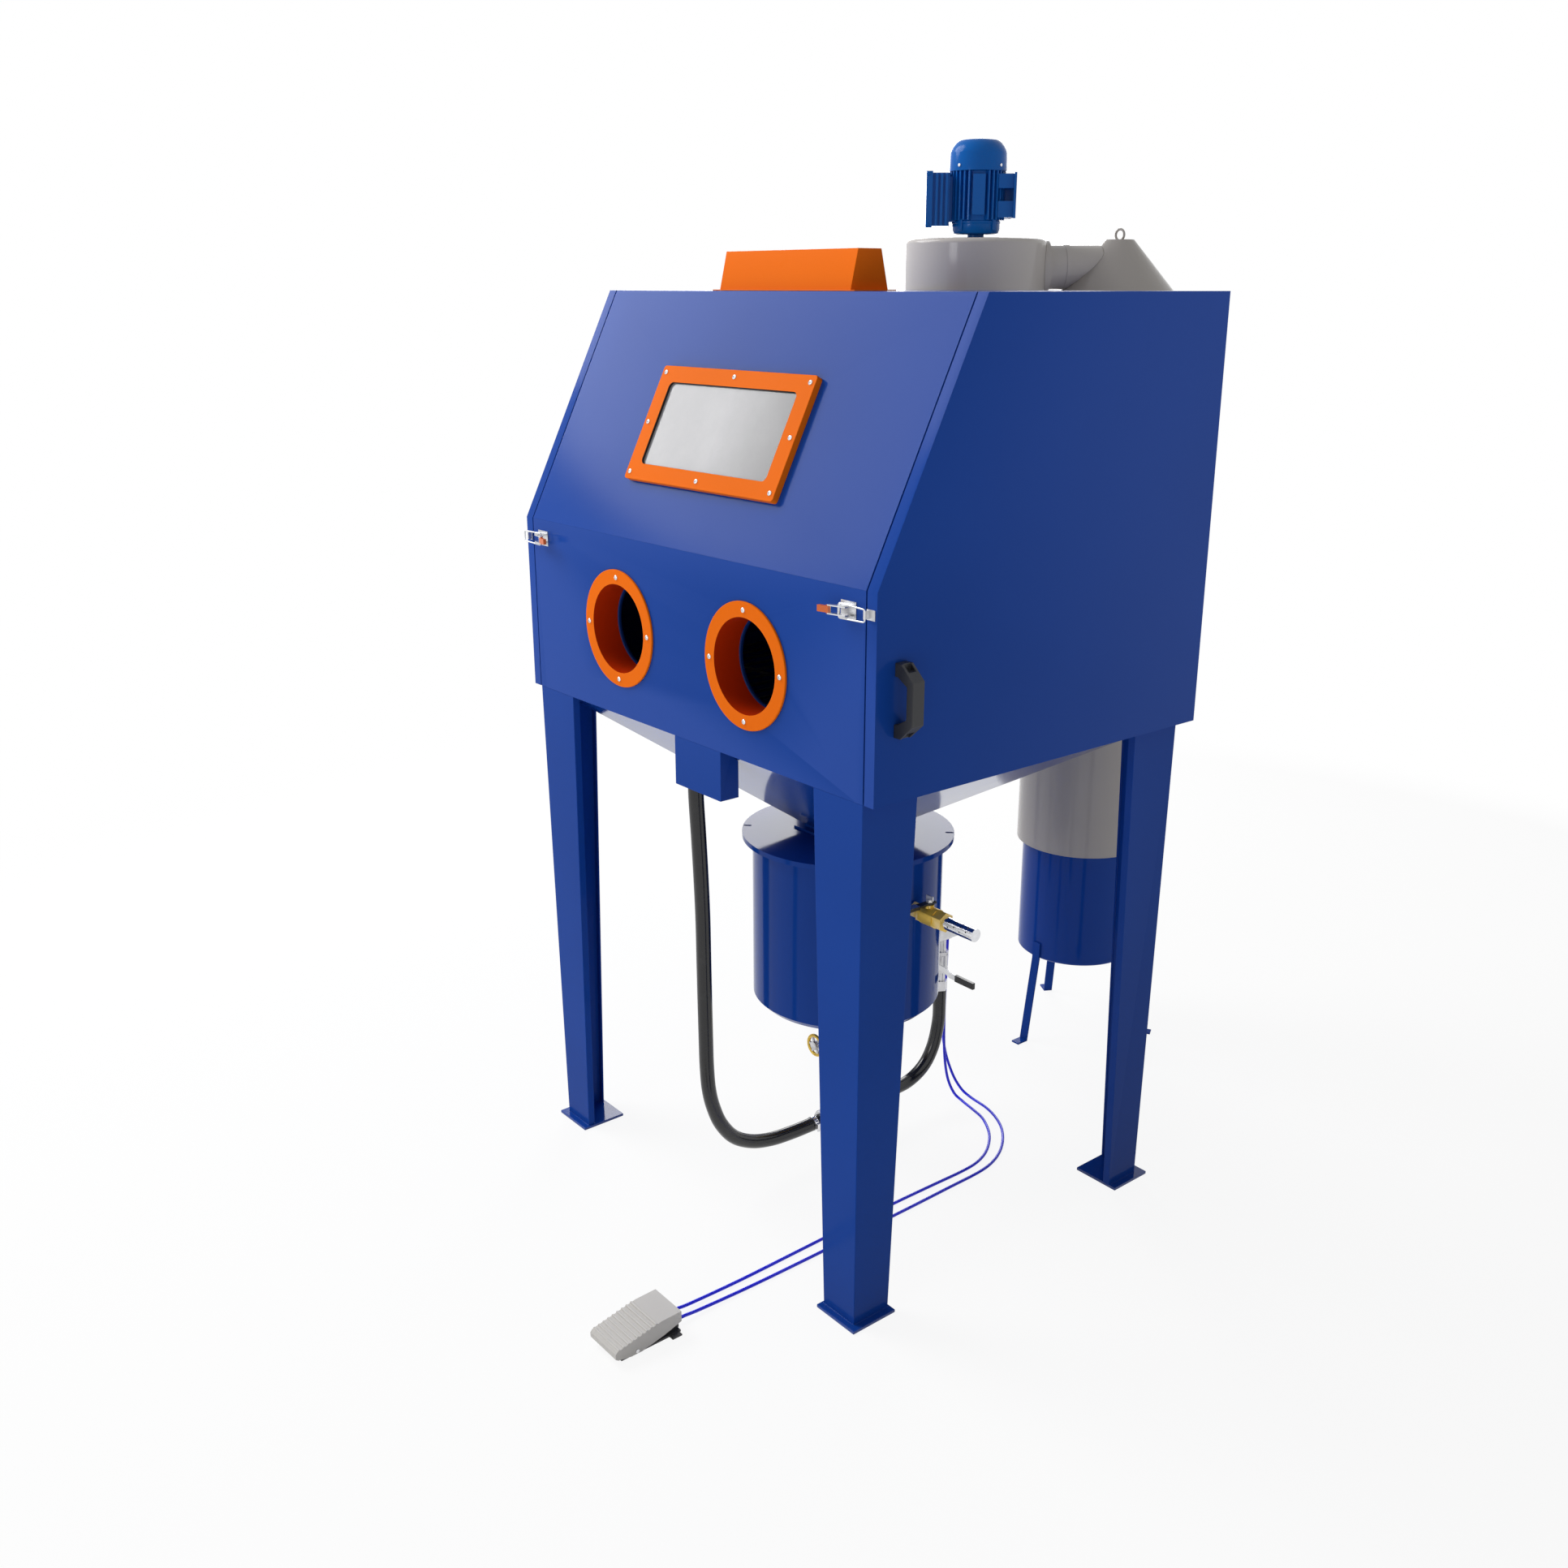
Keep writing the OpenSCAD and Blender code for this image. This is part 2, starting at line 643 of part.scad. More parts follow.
module strike() {
    translate([strike_x - 1, -2, leg_h + latch_z - 8]) cube([door_wrap - 4, 2, 16]);
    translate([strike_x, -lip_top, leg_h + latch_z - 6.5]) cube([2, lip_top, 13]);
}

module latch_base_right() color(zinc) place() latch_base();
module latch_base_left() color(zinc) place() left_of() latch_base();
module latch_lever_right() color(zinc) place() latch_lever();
module latch_lever_left() color(zinc) place() left_of() latch_lever();
module latch_hook_right() color(zinc) place() latch_hook();
module latch_hook_left() color(zinc) place() left_of() latch_hook();
module strike_right() color(zinc) place() strike();
module strike_left() color(zinc) place() left_of() strike();

/* ---- exhaust fan and motor ---- */

impeller_r = 112;     // radius of the impeller
impeller_z = fan_bottom + 34;
impeller_h = 84;      // height of the impeller
boss_h = 8.5;         // height of the boss that seats the motor
boss_r = 17;          // radius of that boss
shield_h = 30;        // height of the motor's end shield
motor_turn = 50;      // turn of the motor about its shaft
box_reach = 106;      // reach of its terminal box from the shaft
foot_reach = 76;      // reach of its feet from the shaft
motor_z = fan_top + boss_h;
fins_z = motor_z + shield_h;
cowl_z = fins_z + motor_len;

module at_fan(z = 0) {
    translate([-fan_x, fan_y, z]) children();
}

// Along the pipe from the fan's axis to the collector's axis
module along_pipe() {
    at_fan(pipe_z) rotate([0, 0, pipe_dir]) rotate([0, 90, 0]) children();
}

module fan_housing() color(grey) place() difference() {
    union() {
        at_fan(fan_bottom) rotate_extrude($fn = 96) polygon(concat(
            [[0, 0], [fan_r, 0]],
            [for (a = [0:15:90]) [fan_r - 10 + 10 * cos(a), fan_h - 10 + 10 * sin(a)]],
            [[0, fan_h]]));
        translate([-fan_x - duct_half, cab_d, fan_bottom - duct_h])
            cube([2 * duct_half, fan_y - cab_d + duct_half, duct_h + 1]);
    }
    at_fan(fan_bottom + 3) cylinder(r = fan_r - 3, h = fan_h - 6, $fn = 96);
    at_fan(fan_bottom - 2) cylinder(r = 58, h = 6);
    at_fan(fan_top - 4) cylinder(r = shaft_r + 3, h = 5);
    translate([-fan_x - duct_half + duct_wall, cab_d - 1, fan_bottom - duct_h + duct_wall])
        cube([2 * (duct_half - duct_wall), fan_y - cab_d + duct_half - duct_wall + 1,
            duct_h - duct_wall]);
    along_pipe() translate([0, 0, fan_r / 2]) cylinder(r = pipe_r - 2, h = fan_r);
}

module fan_impeller() color(grey) place() at_fan() difference() {
    union() {
        translate([0, 0, impeller_z + impeller_h - 3]) cylinder(r = impeller_r, h = 3, $fn = 72);
        translate([0, 0, impeller_z]) difference() {
            cylinder(r = impeller_r, h = 3, $fn = 72);
            translate([0, 0, -1]) cylinder(r = 66, h = 5);
        }
        for (k = [0:11]) rotate([0, 0, 30 * k]) translate([62, 0, impeller_z + 1])
            rotate([0, 0, 30]) cube([48, 3, impeller_h - 2]);
        translate([0, 0, impeller_z + impeller_h - 38]) cylinder(r = 20, h = 38);
    }
    translate([0, 0, impeller_z]) cylinder(r = shaft_r + seat, h = impeller_h + 1);
}

module motor_shaft() color(zinc) place() at_fan() {
    translate([0, 0, impeller_z + impeller_h - 36])
        cylinder(r = shaft_r, h = cowl_z + 0.57 * cowl_h + 36 - impeller_z - impeller_h);
    translate([0, 0, impeller_z + impeller_h]) cylinder(r = 13, h = 5);
    translate([0, 0, cowl_z + 8]) cylinder(r = 16, h = 22);
    for (k = [0:5]) rotate([0, 0, 60 * k]) translate([12, -1, cowl_z + 8]) cube([32, 2, 20]);
}

// Finned frame with a terminal box on one side and a pair of feet on the other
module motor_body() color(motor_blue) place() at_fan() difference() {
    union() {
        translate([0, 0, fan_top]) cylinder(r = boss_r, h = boss_h + 1);
        translate([0, 0, motor_z + 8]) cylinder(r = 49, h = shield_h - 8);
        translate([0, 0, motor_z]) cylinder(r1 = 41, r2 = 49, h = 8);
        rotate([0, 0, motor_turn]) {
            translate([0, 0, fins_z]) linear_extrude(motor_len) {
                circle(r = motor_r, $fn = 72);
                for (k = [-8:8], s = [0, 180]) rotate([0, 0, 90 + s + k * 7.5])
                    translate([motor_r - 2, -1.4]) square([cowl_r - motor_r - 1, 2.8]);
                for (y = [-45, 32]) translate([22, y]) square([foot_reach - 26, 13]);
            }
            translate([foot_reach - 6, -52, fins_z + 4]) cube([6, 104, motor_len - 6]);
            translate([-box_reach + 11, -43, motor_z + 14]) cube([box_reach - 48, 86, 104]);
            translate([-box_reach, -47, motor_z + 12]) cube([12, 94, 108]);
            for (x = [16, 26, 36]) translate([x - box_reach, -46, motor_z + 14]) cube([4, 92, 104]);
        }
    }
    translate([0, 0, fan_top - 1]) cylinder(r = shaft_r + run, h = cowl_z - fan_top + 2);
    translate([0, 0, fan_top - 1]) cylinder(r = 14, h = 8);
}

dome = 26;             // height of the cowl's rounded shoulder

function shoulder(t) = [for (a = [0:15:90])
    [cowl_r - 16 + (16 - t) * cos(a), cowl_h - dome + (dome - t) * sin(a)]];

module motor_cowl() color(motor_blue) place() at_fan(cowl_z) rotate([0, 0, motor_turn]) {
    difference() {
        rotate_extrude($fn = 72) polygon(concat(
            [[motor_r + 2, 0], [cowl_r, 0]], shoulder(0), [[0, cowl_h], [0, cowl_h - 2]],
            [for (i = [6:-1:0]) shoulder(2)[i]], [[cowl_r - 2, 2], [motor_r + 2, 2]]));
        for (k = [0:15]) rotate([0, 0, 22.5 * k]) translate([12, -1.75, cowl_h - 4]) cube([26, 3.5, 6]);
    }
    for (k = [0:3]) rotate([0, 0, 45 + 90 * k]) rod_x(3, cowl_r - 1, cowl_r + 1.5, 0, 10);
}

/* ---- dust collector ---- */

coll_t = 2.5;
coll_top = cab_top + fan_up;
cone_z = coll_top - coll_cone_h;
plate_in = 96;        // radius of the hole in the tube plate
cart_z = body_z + 280;      // bottom of the filter cartridge
cart_top = cone_z - 127;    // underside of the tube plate

module at_coll(z = 0) {
    translate([-coll_x, coll_y, z]) children();
}

module exhaust_pipe() color(grey) place() difference() {
    along_pipe() union() {
        translate([0, 0, fan_r - 12]) cylinder(r = pipe_r, h = pipe_span - fan_r - 30);
        translate([0, 0, fan_r - 12]) cylinder(r = pipe_r + 9, h = 18);
        translate([0, 0, fan_r + 40]) cylinder(r = pipe_r + 1.5, h = 10);
    }
    along_pipe() cylinder(r = pipe_r - 2, h = pipe_span + 10);
    at_fan(fan_bottom) cylinder(r = fan_r + seat, h = fan_h, $fn = 96);
    at_coll(cone_z) cylinder(r1 = coll_r + seat, r2 = 30 + seat, h = coll_cone_h, $fn = 96);
}

module collector_body() color(grey) place() {
    difference() {
        at_coll() rotate_extrude($fn = 96) polygon([
            [drum_r - 20, body_z], [coll_r, body_z], [coll_r, cone_z], [30, coll_top],
            [0, coll_top], [0, coll_top - coll_t - 1], [27, coll_top - coll_t - 1],
            [coll_r - coll_t, cone_z - 2], [coll_r - coll_t, cart_top + 3],
            [plate_in, cart_top + 3], [plate_in, cart_top], [coll_r - coll_t, cart_top],
            [coll_r - coll_t, body_z + coll_t], [drum_r - 20, body_z + coll_t]]);
        along_pipe() translate([0, 0, pipe_span - coll_r]) cylinder(r = pipe_r - 2, h = coll_r - 5);
        for (k = [-3:3], j = [0:4]) at_coll(body_z + 60 + 36 * j) rotate([0, 0, 90 + 11 * k])
            translate([coll_r - 10, -8, 0]) cube([20, 16, 7]);
    }
    at_coll(coll_top + 9.5) rotate([90, 0, 0]) rotate_extrude() translate([11, 0]) circle(r = 2.5, $fn = 16);
}

module filter_cartridge() color([0.9, 0.9, 0.86]) place() at_coll() difference() {
    union() {
        translate([0, 0, cart_top - 6]) cylinder(r = 118, h = 6);
        translate([0, 0, cart_z]) linear_extrude(cart_top - 6 - cart_z) polygon([
            for (k = [0:95]) (k % 2 == 0 ? 112 : 100) * [cos(k * 3.75), sin(k * 3.75)]]);
        translate([0, 0, cart_z - 8]) cylinder(r = 116, h = 10);
    }
    translate([0, 0, cart_z - 9]) cylinder(r = 88, h = cart_top - cart_z + 20);
}

module collector_drum() color(paint) place() at_coll() rotate_extrude($fn = 96) polygon([
    [0, drum_z], [drum_r - 4, drum_z], [drum_r, drum_z + 4], [drum_r, body_z],
    [drum_r - 2, body_z], [drum_r - 2, drum_z + 5], [drum_r - 5, drum_z + 2], [0, drum_z + 2]]);

leg_foot_r = 168;     // where a collector leg meets the floor

module collector_legs() color(paint) place() at_coll()
    for (a = [-90, 30, 150]) rotate([0, 0, a]) translate([0, 10.5, 0]) rotate([90, 0, 0])
        linear_extrude(21) polygon([
            [drum_r + seat, drum_z + 40], [drum_r + seat, drum_z], [leg_foot_r - 4, 4],
            [leg_foot_r - 4, 0], [leg_foot_r + 28, 0], [leg_foot_r + 28, 4], [leg_foot_r, 4],
            [drum_r + seat + 4, drum_z], [drum_r + seat + 4, drum_z + 40]]);

/* ---- blast pot ---- */

inlet_r = 40;          // radius of the lid's media opening
popup_travel = 15;
popup_seat = 48;
guide_z = pot_top - 120;
exhaust_z = pot_bottom + 243;
air_z = pot_bottom + 52;
riser_y = 667;

module at_pot(z = 0) {
    translate([0, mid_y, z]) children();
}

module pot_body() color(paint) place() difference() {
    union() {
        at_pot() rotate_extrude($fn = 96) polygon([
            [26, pot_bottom - cone_h], [34, pot_bottom - cone_h], [34, pot_bottom - cone_h + 8],
            [pot_r - 12, pot_bottom], [pot_r, pot_bottom + 12], [pot_r, pot_top],
            [pot_r - pot_t, pot_top], [pot_r - pot_t, pot_bottom + 14],
            [pot_r - 16, pot_bottom + pot_t + 1], [26, pot_bottom - cone_h + 14]]);
        at_pot(guide_z) for (a = [0, 90]) rotate([0, 0, a])
            translate([-pot_r + 2, -6, 0]) cube([2 * pot_r - 4, 12, 30]);
        at_pot(guide_z) cylinder(r = 16, h = 30);
        rod_x(15, pot_r - 6, pot_r + 5, mid_y, exhaust_z);
        rod_y(15, mid_y + pot_r - 6, mid_y + pot_r + 5, 0, air_z);
    }
    at_pot(guide_z - 1) cylinder(r = 8 + run, h = 32);
    rod_x(7, pot_r - 14, pot_r + 6, mid_y, exhaust_z);
    rod_y(7, mid_y + pot_r - 14, mid_y + pot_r + 6, 0, air_z);
}

module pot_lid() color(paint) place() difference() {
    at_pot(pot_top) cylinder(r = lid_r, h = lid_t, $fn = 96);
    at_pot(pot_top - 1) cylinder(r = inlet_r, h = lid_t + 2);
    for (s = [-1, 1]) translate([s * 141, mid_y + s * 140, pot_top - 1]) rotate([0, 0, 45])
        linear_extrude(lid_t + 2) slot(16, 3.5);
}

module popup_valve() color(brass) place() at_pot() {
    rotate_extrude() polygon([
        [0, guide_z - 30], [8, guide_z - 30], [8, pot_top - 24], [popup_seat, pot_top - 24],
        [popup_seat, pot_top - popup_travel - 0.6], [inlet_r - 2, pot_top - popup_travel - 0.6],
        [16, pot_top - 2], [0, pot_top - 2]]);
}

valve_top = pot_bottom - cone_h;
valve_low = valve_top - 99;
wheel_z = valve_top - 51;
wheel_y = mid_y - 80;
tee_z = 75;
tee_y0 = mid_y - 67;
tee_y1 = mid_y + 51;

module media_valve() color(brass) place() difference() {
    union() {
        at_pot(valve_top - 9) cylinder(r = 36, h = 9);
        at_pot(valve_low + 7) cylinder(r = 24, h = valve_top - valve_low - 7);
        at_pot(valve_low) cylinder(r = 21, h = 12, $fn = 6);
        rod_y(17, mid_y - 52, mid_y, 0, wheel_z);
        rod_y(12, mid_y - 60, mid_y - 50, 0, wheel_z);
    }
    at_pot(valve_low - 1) cylinder(r = 12, h = valve_top - valve_low + 2);
    rod_y(5 + run, mid_y - 61, mid_y, 0, wheel_z);
}

module media_wheel() color(brass) place() translate([0, wheel_y, wheel_z]) rotate([90, 0, 0]) {
    rotate_extrude() translate([20.5, 0]) circle(r = 3.5, $fn = 20);
    for (a = [0:60:120]) rotate([0, 0, a]) translate([-19, -2.5, -2]) cube([38, 5, 4]);
    translate([0, 0, -44]) cylinder(r = 5, h = 50);
    translate([0, 0, -6]) cylinder(r = 9, h = 12);
}

module mixing_tee() color(zinc) place() difference() {
    union() {
        rod_y(19, tee_y0 + 14, tee_y1 - 14, 0, tee_z);
        for (y = [tee_y0, tee_y1 - 18]) rod_y(21, y, y + 18, 0, tee_z, $fn = 6);
        at_pot(tee_z) cylinder(r = 15, h = valve_low - tee_z);
        at_pot(tee_z + 30) cylinder(r = 19, h = 16);
        at_pot(valve_low - 16) cylinder(r = 21, h = 16, $fn = 6);
    }
    at_pot(tee_z) cylinder(r = 10, h = valve_low - tee_z + 1);
    rod_y(10, tee_y0 - 1, tee_y1 + 1, 0, tee_z);
}

/* ---- exhaust valve and silencer ---- */

valve_x0 = pot_r + 5;
stem_x = 232;

module exhaust_valve() color(brass) place() difference() {
    union() {
        rod_x(16, valve_x0, valve_x0 + 16, mid_y, exhaust_z, $fn = 6);
        rod_x(13, valve_x0 + 14, valve_x0 + 24, mid_y, exhaust_z);
        rod_x(19.5, valve_x0 + 20, valve_x0 + 30, mid_y, exhaust_z, $fn = 6);
        rod_x(18.5, valve_x0 + 28, valve_x0 + 62, mid_y, exhaust_z);
        rod_x(19.5, valve_x0 + 60, valve_x0 + 84, mid_y, exhaust_z, $fn = 6);
        translate([stem_x, mid_y, exhaust_z]) cylinder(r = 9, h = 23);
    }
    rod_x(8, valve_x0 - 1, valve_x0 + 86, mid_y, exhaust_z);
    translate([stem_x, mid_y, exhaust_z]) cylinder(r = 4 + run, h = 24);
}

module exhaust_lever() color(black) place() translate([stem_x, mid_y, exhaust_z]) {
    translate([-7, -92, 24]) cube([14, 104, 4]);
    translate([-8, -94, 22.4]) cube([16, 62, 7]);
    translate([0, 0, 11]) cylinder(r = 4, h = 22);
    translate([0, 0, 28]) cylinder(r = 7, h = 5, $fn = 6);
    translate([-9, -1.5, 31]) cube([18, 3, 9]);
}

sil_x = valve_x0 + 84;

module silencer() color(zinc) place() difference() {
    rod_x(silencer_r, sil_x, sil_x + silencer_len, mid_y, exhaust_z);
    rod_x(silencer_r - 1.5, sil_x - 1, sil_x + silencer_len - 3, mid_y, exhaust_z);
    for (k = [0:3], a = [0:3]) translate([sil_x + 16 + 15 * k, mid_y, exhaust_z])
        for (s = [0, 180]) rotate([45 * a + s + (k % 2) * 22.5, 0, 0])
            translate([0, 0, silencer_r - 3]) cylinder(r = 1.6, h = 4, $fn = 16);
}

/* ---- air riser ---- */

riser_low = air_z - 129;      // underside of the hose coupling
ball_z = air_z - 63;         // middle of the ball valve
stub_y = mid_y + pot_r + 5;
tube_y = riser_y + 27;

module air_riser() color([0.85, 0.85, 0.86]) place() difference() {
    union() {
        rod_y(steel_r, stub_y, riser_y, 0, air_z);
        rod_y(15, stub_y + 12, stub_y + 32, 0, air_z, $fn = 6);
        rod_y(16, riser_y - 22, riser_y + 20, 0, air_z);
        rod_y(15, riser_y + 18, riser_y + 46, 0, air_z, $fn = 6);
        translate([0, riser_y, riser_low + 16]) cylinder(r = steel_r, h = air_z - riser_low - 16);
        translate([0, riser_y, riser_low]) cylinder(r = 16, h = 22, $fn = 6);
        translate([0, riser_y, ball_z - 24]) cylinder(r = 16, h = 10, $fn = 6);
        translate([0, riser_y, ball_z - 16]) cylinder(r = 15, h = 32);
        translate([0, riser_y, ball_z + 14]) cylinder(r = 16, h = 10, $fn = 6);
        rod_y(8, riser_y - 24, riser_y, 0, ball_z);
        translate([-26, tube_y - 7, air_z - 8]) cube([34, 14, 16]);
        for (x = [-20, -8]) translate([x, tube_y, air_z - 18]) cylinder(r = 4.5, h = 14);
    }
    translate([0, riser_y, riser_low - 1]) cylinder(r = 7, h = air_z - riser_low);
    rod_y(7, stub_y - 1, riser_y + 30, 0, air_z);
    rod_y(4 + run, riser_y - 25, riser_y - 10, 0, ball_z);
}

module air_lever() color(zinc) place() translate([0, riser_y - 24, ball_z]) {
    rod_y(4, -6, 10);
    translate([0, 0, -6]) linear_extrude(12) polygon([
        [-8, -4], [38, -4], [64, -15], [128, -15], [128, -12], [65, -12], [39, -1], [-8, -1]]);
    translate([82, -17, -7]) cube([52, 7, 14]);
    rod_y(5, -8, -3);
}

/* ---- hoses and tubes ---- */

function unit(v) = v / norm(v);
function way(p, i) = unit(i == 0 ? p[1] - p[0] : i == len(p) - 1 ? p[i] - p[i - 1]
    : unit(p[i] - p[i - 1]) + unit(p[i + 1] - p[i]));
// Corners of a smooth run through the points: each point is kept, with one more on each span
function mids(p, i) = (9 * (p[i] + p[i + 1]) - p[i - 1] - p[i + 2]) / 16;
function smooth(p) = [for (i = [0:len(p) - 1]) each (i > 0 && i < len(p) - 2
    ? [p[i], mids(p, i)] : [p[i]])];

// Round hose of radius r swept along the points; "side" is a direction square to its plane
module sweep(p, r, n, side) {
    rings = [for (i = [0:len(p) - 1])
        let (w = way(p, i), a = unit(cross(w, side)), b = cross(a, w))
        for (k = [0:n - 1]) p[i] + r * (cos(360 * k / n) * a + sin(360 * k / n) * b)];
    m = len(p);
    polyhedron(rings, concat(
        [[for (k = [0:n - 1]) n - 1 - k]],
        [for (i = [0:m - 2], k = [0:n - 1]) [
            i * n + k, i * n + (k + 1) % n, (i + 1) * n + (k + 1) % n, (i + 1) * n + k]],
        [[for (k = [0:n - 1]) (m - 1) * n + k]]));
}

blast_path = [[hose_x, hose_y, box_z0 - 4.5], [hose_x, hose_y, box_z0 - 34.5], [8, 25, 770], [6, 28, 690],
    [4, 30, 606], [2, 32, 520], [0, 33, 440], [0, 34, 356], [0, 38, 290], [0, 48, 228], [0, 68, 168],
    [0, 98, 124], [0, 138, 95], [0, 190, 80], [0, 250, 75], [0, 298, tee_z], [0, tee_y0, tee_z]];
air_path = [[0, riser_y, riser_low], [0, riser_y, riser_low - 30], [0, 666, 196], [0, 652, 140], [0, 624, 100],
    [0, 578, 78], [0, 520, 75], [0, tee_y1 + 30, tee_z], [0, tee_y1, tee_z]];
tube_a = [[-8, tube_y, air_z - 18], [-8, tube_y, air_z - 31], [-9, 694, 300], [-10, 694, 200], [-8, 696, 110],
    [0, 700, 48], [18, 704, 14], [44, 705, 4], [81, 698, 3.2], [122, 687, 3.2], [163, 662, 3.2],
    [193, 634, 3.2], [221, 594, 3.2], [237, 550, 3.2], [241, 500, 3.2], [239, 420, 3.2],
    [237, 322, 3.2], [237, 200, 3.2], [238, 77, 3.2], [239, -60, 3.2], [239, -170, 6],
    [239, -205, 9], [239, -226, 9]];
tube_b = [[-20, tube_y, air_z - 18], [-20, tube_y, air_z - 31], [-22, 696, 300], [-24, 700, 200], [-22, 710, 110],
    [-8, 722, 48], [14, 730, 14], [44, 731, 4], [95, 726, 3.2], [137, 712, 3.2], [176, 689, 3.2],
    [210, 657, 3.2], [238, 618, 3.2], [257, 574, 3.2], [265, 525, 3.2], [266, 440, 3.2],
    [267, 330, 3.2], [267, 200, 3.2], [267, 80, 3.2], [265, -60, 3.2], [263, -170, 6],
    [263, -205, 9], [263, -226, 9]];

module blast_hose() color(black) place() sweep(blast_path, hose_d / 2, 12, [1, 0, 0]);
module air_hose() color(black) place() sweep(air_path, hose_d / 2, 12, [1, 0, 0]);
module pilot_tube_a() color([0.1, 0.1, 0.8]) place() sweep(tube_a, tube_d / 2, 8, [0.8, 0.6, 0.1]);
module pilot_tube_b() color([0.1, 0.1, 0.8]) place() sweep(tube_b, tube_d / 2, 8, [0.8, 0.6, 0.1]);

/* ---- foot pedal ---- */

pin_y = 38;           // the treadle's pin, behind the pedal's front
pin_z = 11;
pin_r = 3.5;

module at_pedal() {
    translate([pedal_x, pedal_y, 0]) children();
}

module pedal_base() color([0.25, 0.25, 0.26]) place() at_pedal() difference() {
    union() {
        translate([-pedal_w / 2 + 6, 10, 0]) cube([pedal_w - 12, pedal_l - 8, 4]);
        for (s = [-1, 1]) translate([s * (pedal_w / 2 - 8) - 2, pin_y - 9, 0]) cube([4, 18, 18]);
        translate([-24, pedal_l - 30, 3]) cube([48, 34, 12]);
        translate([-pedal_w / 2 - 4, pedal_l - 22, 0]) cube([pedal_w + 8, 20, 3]);
    }
    translate([-pedal_w, pin_y, pin_z]) rotate([0, 90, 0]) cylinder(r = pin_r + run, h = 2 * pedal_w);
}

// Ribbed top of the pedal; its outline in Y and Z, hollow underneath
module pedal_treadle() color([0.62, 0.61, 0.6]) place() at_pedal() {
    difference() {
        union() {
            translate([-pedal_w / 2, 0, 0]) rotate([90, 0, 90]) linear_extrude(pedal_w) polygon([
                [0, 10], [-toe, 14], [-toe, pedal_front_h - 4], [-1, pedal_front_h],
                [pedal_l - 42, pedal_back_h - 1], [pedal_l, pedal_back_h], [pedal_l, 26],
                [pedal_l - 36, 15], [pin_y + 10, 5], [pin_y - 12, 5]]);
            for (k = [0:8]) translate([-pedal_w / 2, 3 + 9.4 * k, pedal_front_h + 0.3 + 2 * k])
                rotate([0, 90, 0]) cylinder(r = 2.2, h = pedal_w, $fn = 16);
        }
        translate([-pedal_w / 2 + 3, 0, 0]) rotate([90, 0, 90]) linear_extrude(pedal_w - 6) polygon([
            [4, -1], [4, pedal_front_h - 4], [pedal_l - 40, pedal_back_h - 6],
            [pedal_l - 3, pedal_back_h - 5], [pedal_l + 1, -1]]);
    }
    translate([-pedal_w / 2 - 2, pin_y, pin_z]) rotate([0, 90, 0]) cylinder(r = pin_r, h = pedal_w + 4);
}

cabinet_shell();
hopper();
leg_front_left();
leg_front_right();
leg_rear_left();
leg_rear_right();
window_frame();
window_gasket();
window_glass();
panel_screws();
arm_ring_left();
arm_ring_right();
hose_box();
lamp_housing();
lamp_tube();
lamp_glass();
work_grate();
blast_nozzle();
door_right();
door_left();
door_seal_right();
door_seal_left();
door_handle_right();
door_handle_left();
door_hinges();
strike_right();
strike_left();
latch_base_right();
latch_base_left();
latch_lever_right();
latch_lever_left();
latch_hook_right();
latch_hook_left();
fan_housing();
fan_impeller();
motor_body();
motor_cowl();
motor_shaft();
exhaust_pipe();
collector_body();
filter_cartridge();
collector_drum();
collector_legs();
pot_body();
pot_lid();
popup_valve();
media_valve();
media_wheel();
mixing_tee();
air_riser();
air_lever();
exhaust_valve();
exhaust_lever();
silencer();
blast_hose();
air_hose();
pilot_tube_a();
pilot_tube_b();
pedal_base();
pedal_treadle();
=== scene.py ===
"""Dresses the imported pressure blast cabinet: finishes, fasteners, hoses, camera and studio."""

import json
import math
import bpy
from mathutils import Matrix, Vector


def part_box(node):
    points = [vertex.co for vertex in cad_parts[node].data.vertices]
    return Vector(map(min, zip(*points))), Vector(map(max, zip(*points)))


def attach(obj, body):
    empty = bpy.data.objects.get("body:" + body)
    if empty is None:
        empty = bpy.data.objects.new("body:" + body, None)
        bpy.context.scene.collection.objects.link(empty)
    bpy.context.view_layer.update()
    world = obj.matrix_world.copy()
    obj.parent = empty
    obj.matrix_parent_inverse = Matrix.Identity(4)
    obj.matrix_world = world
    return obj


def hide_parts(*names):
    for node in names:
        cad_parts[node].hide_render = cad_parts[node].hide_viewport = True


bl_info = {
    "name": "Blast Cabinet",
    "version": (1, 0, 0),
    "blender": (4, 5, 0),
    "location": "View3D > Sidebar > Blast Cabinet",
    "description": "Builds a pressure blast cabinet with its dust collector, hoses and foot pedal",
    "category": "Add Mesh",
}

import bmesh
import bpy
from mathutils import Matrix, Vector

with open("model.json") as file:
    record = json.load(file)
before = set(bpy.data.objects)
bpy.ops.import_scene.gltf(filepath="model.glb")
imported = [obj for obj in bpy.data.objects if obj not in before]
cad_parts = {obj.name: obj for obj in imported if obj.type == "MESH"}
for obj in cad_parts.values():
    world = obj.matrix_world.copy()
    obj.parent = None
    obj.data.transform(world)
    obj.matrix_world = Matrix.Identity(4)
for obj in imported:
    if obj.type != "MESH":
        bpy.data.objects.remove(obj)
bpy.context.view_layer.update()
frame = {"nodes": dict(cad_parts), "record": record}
BODY_OF = {
    node: body for body, nodes in frame["record"]["behaviour"]["bodies"].items() for node in nodes
}
MIDDLE_Y = 0.491  # the front panel's plane is this far in front of the part's origin
MM = 0.001
BEND_Z = 1291  # height of the fold between the upright front and the slope
SLOPE = math.atan2(208, 415)  # the sloped front's lean back from upright
WINDOW_UP = 210.5  # the window's middle, up the slope from the fold
ARM_X, ARM_Z = 186, 1123.5  # middles of the arm holes
MOTOR_X = -245


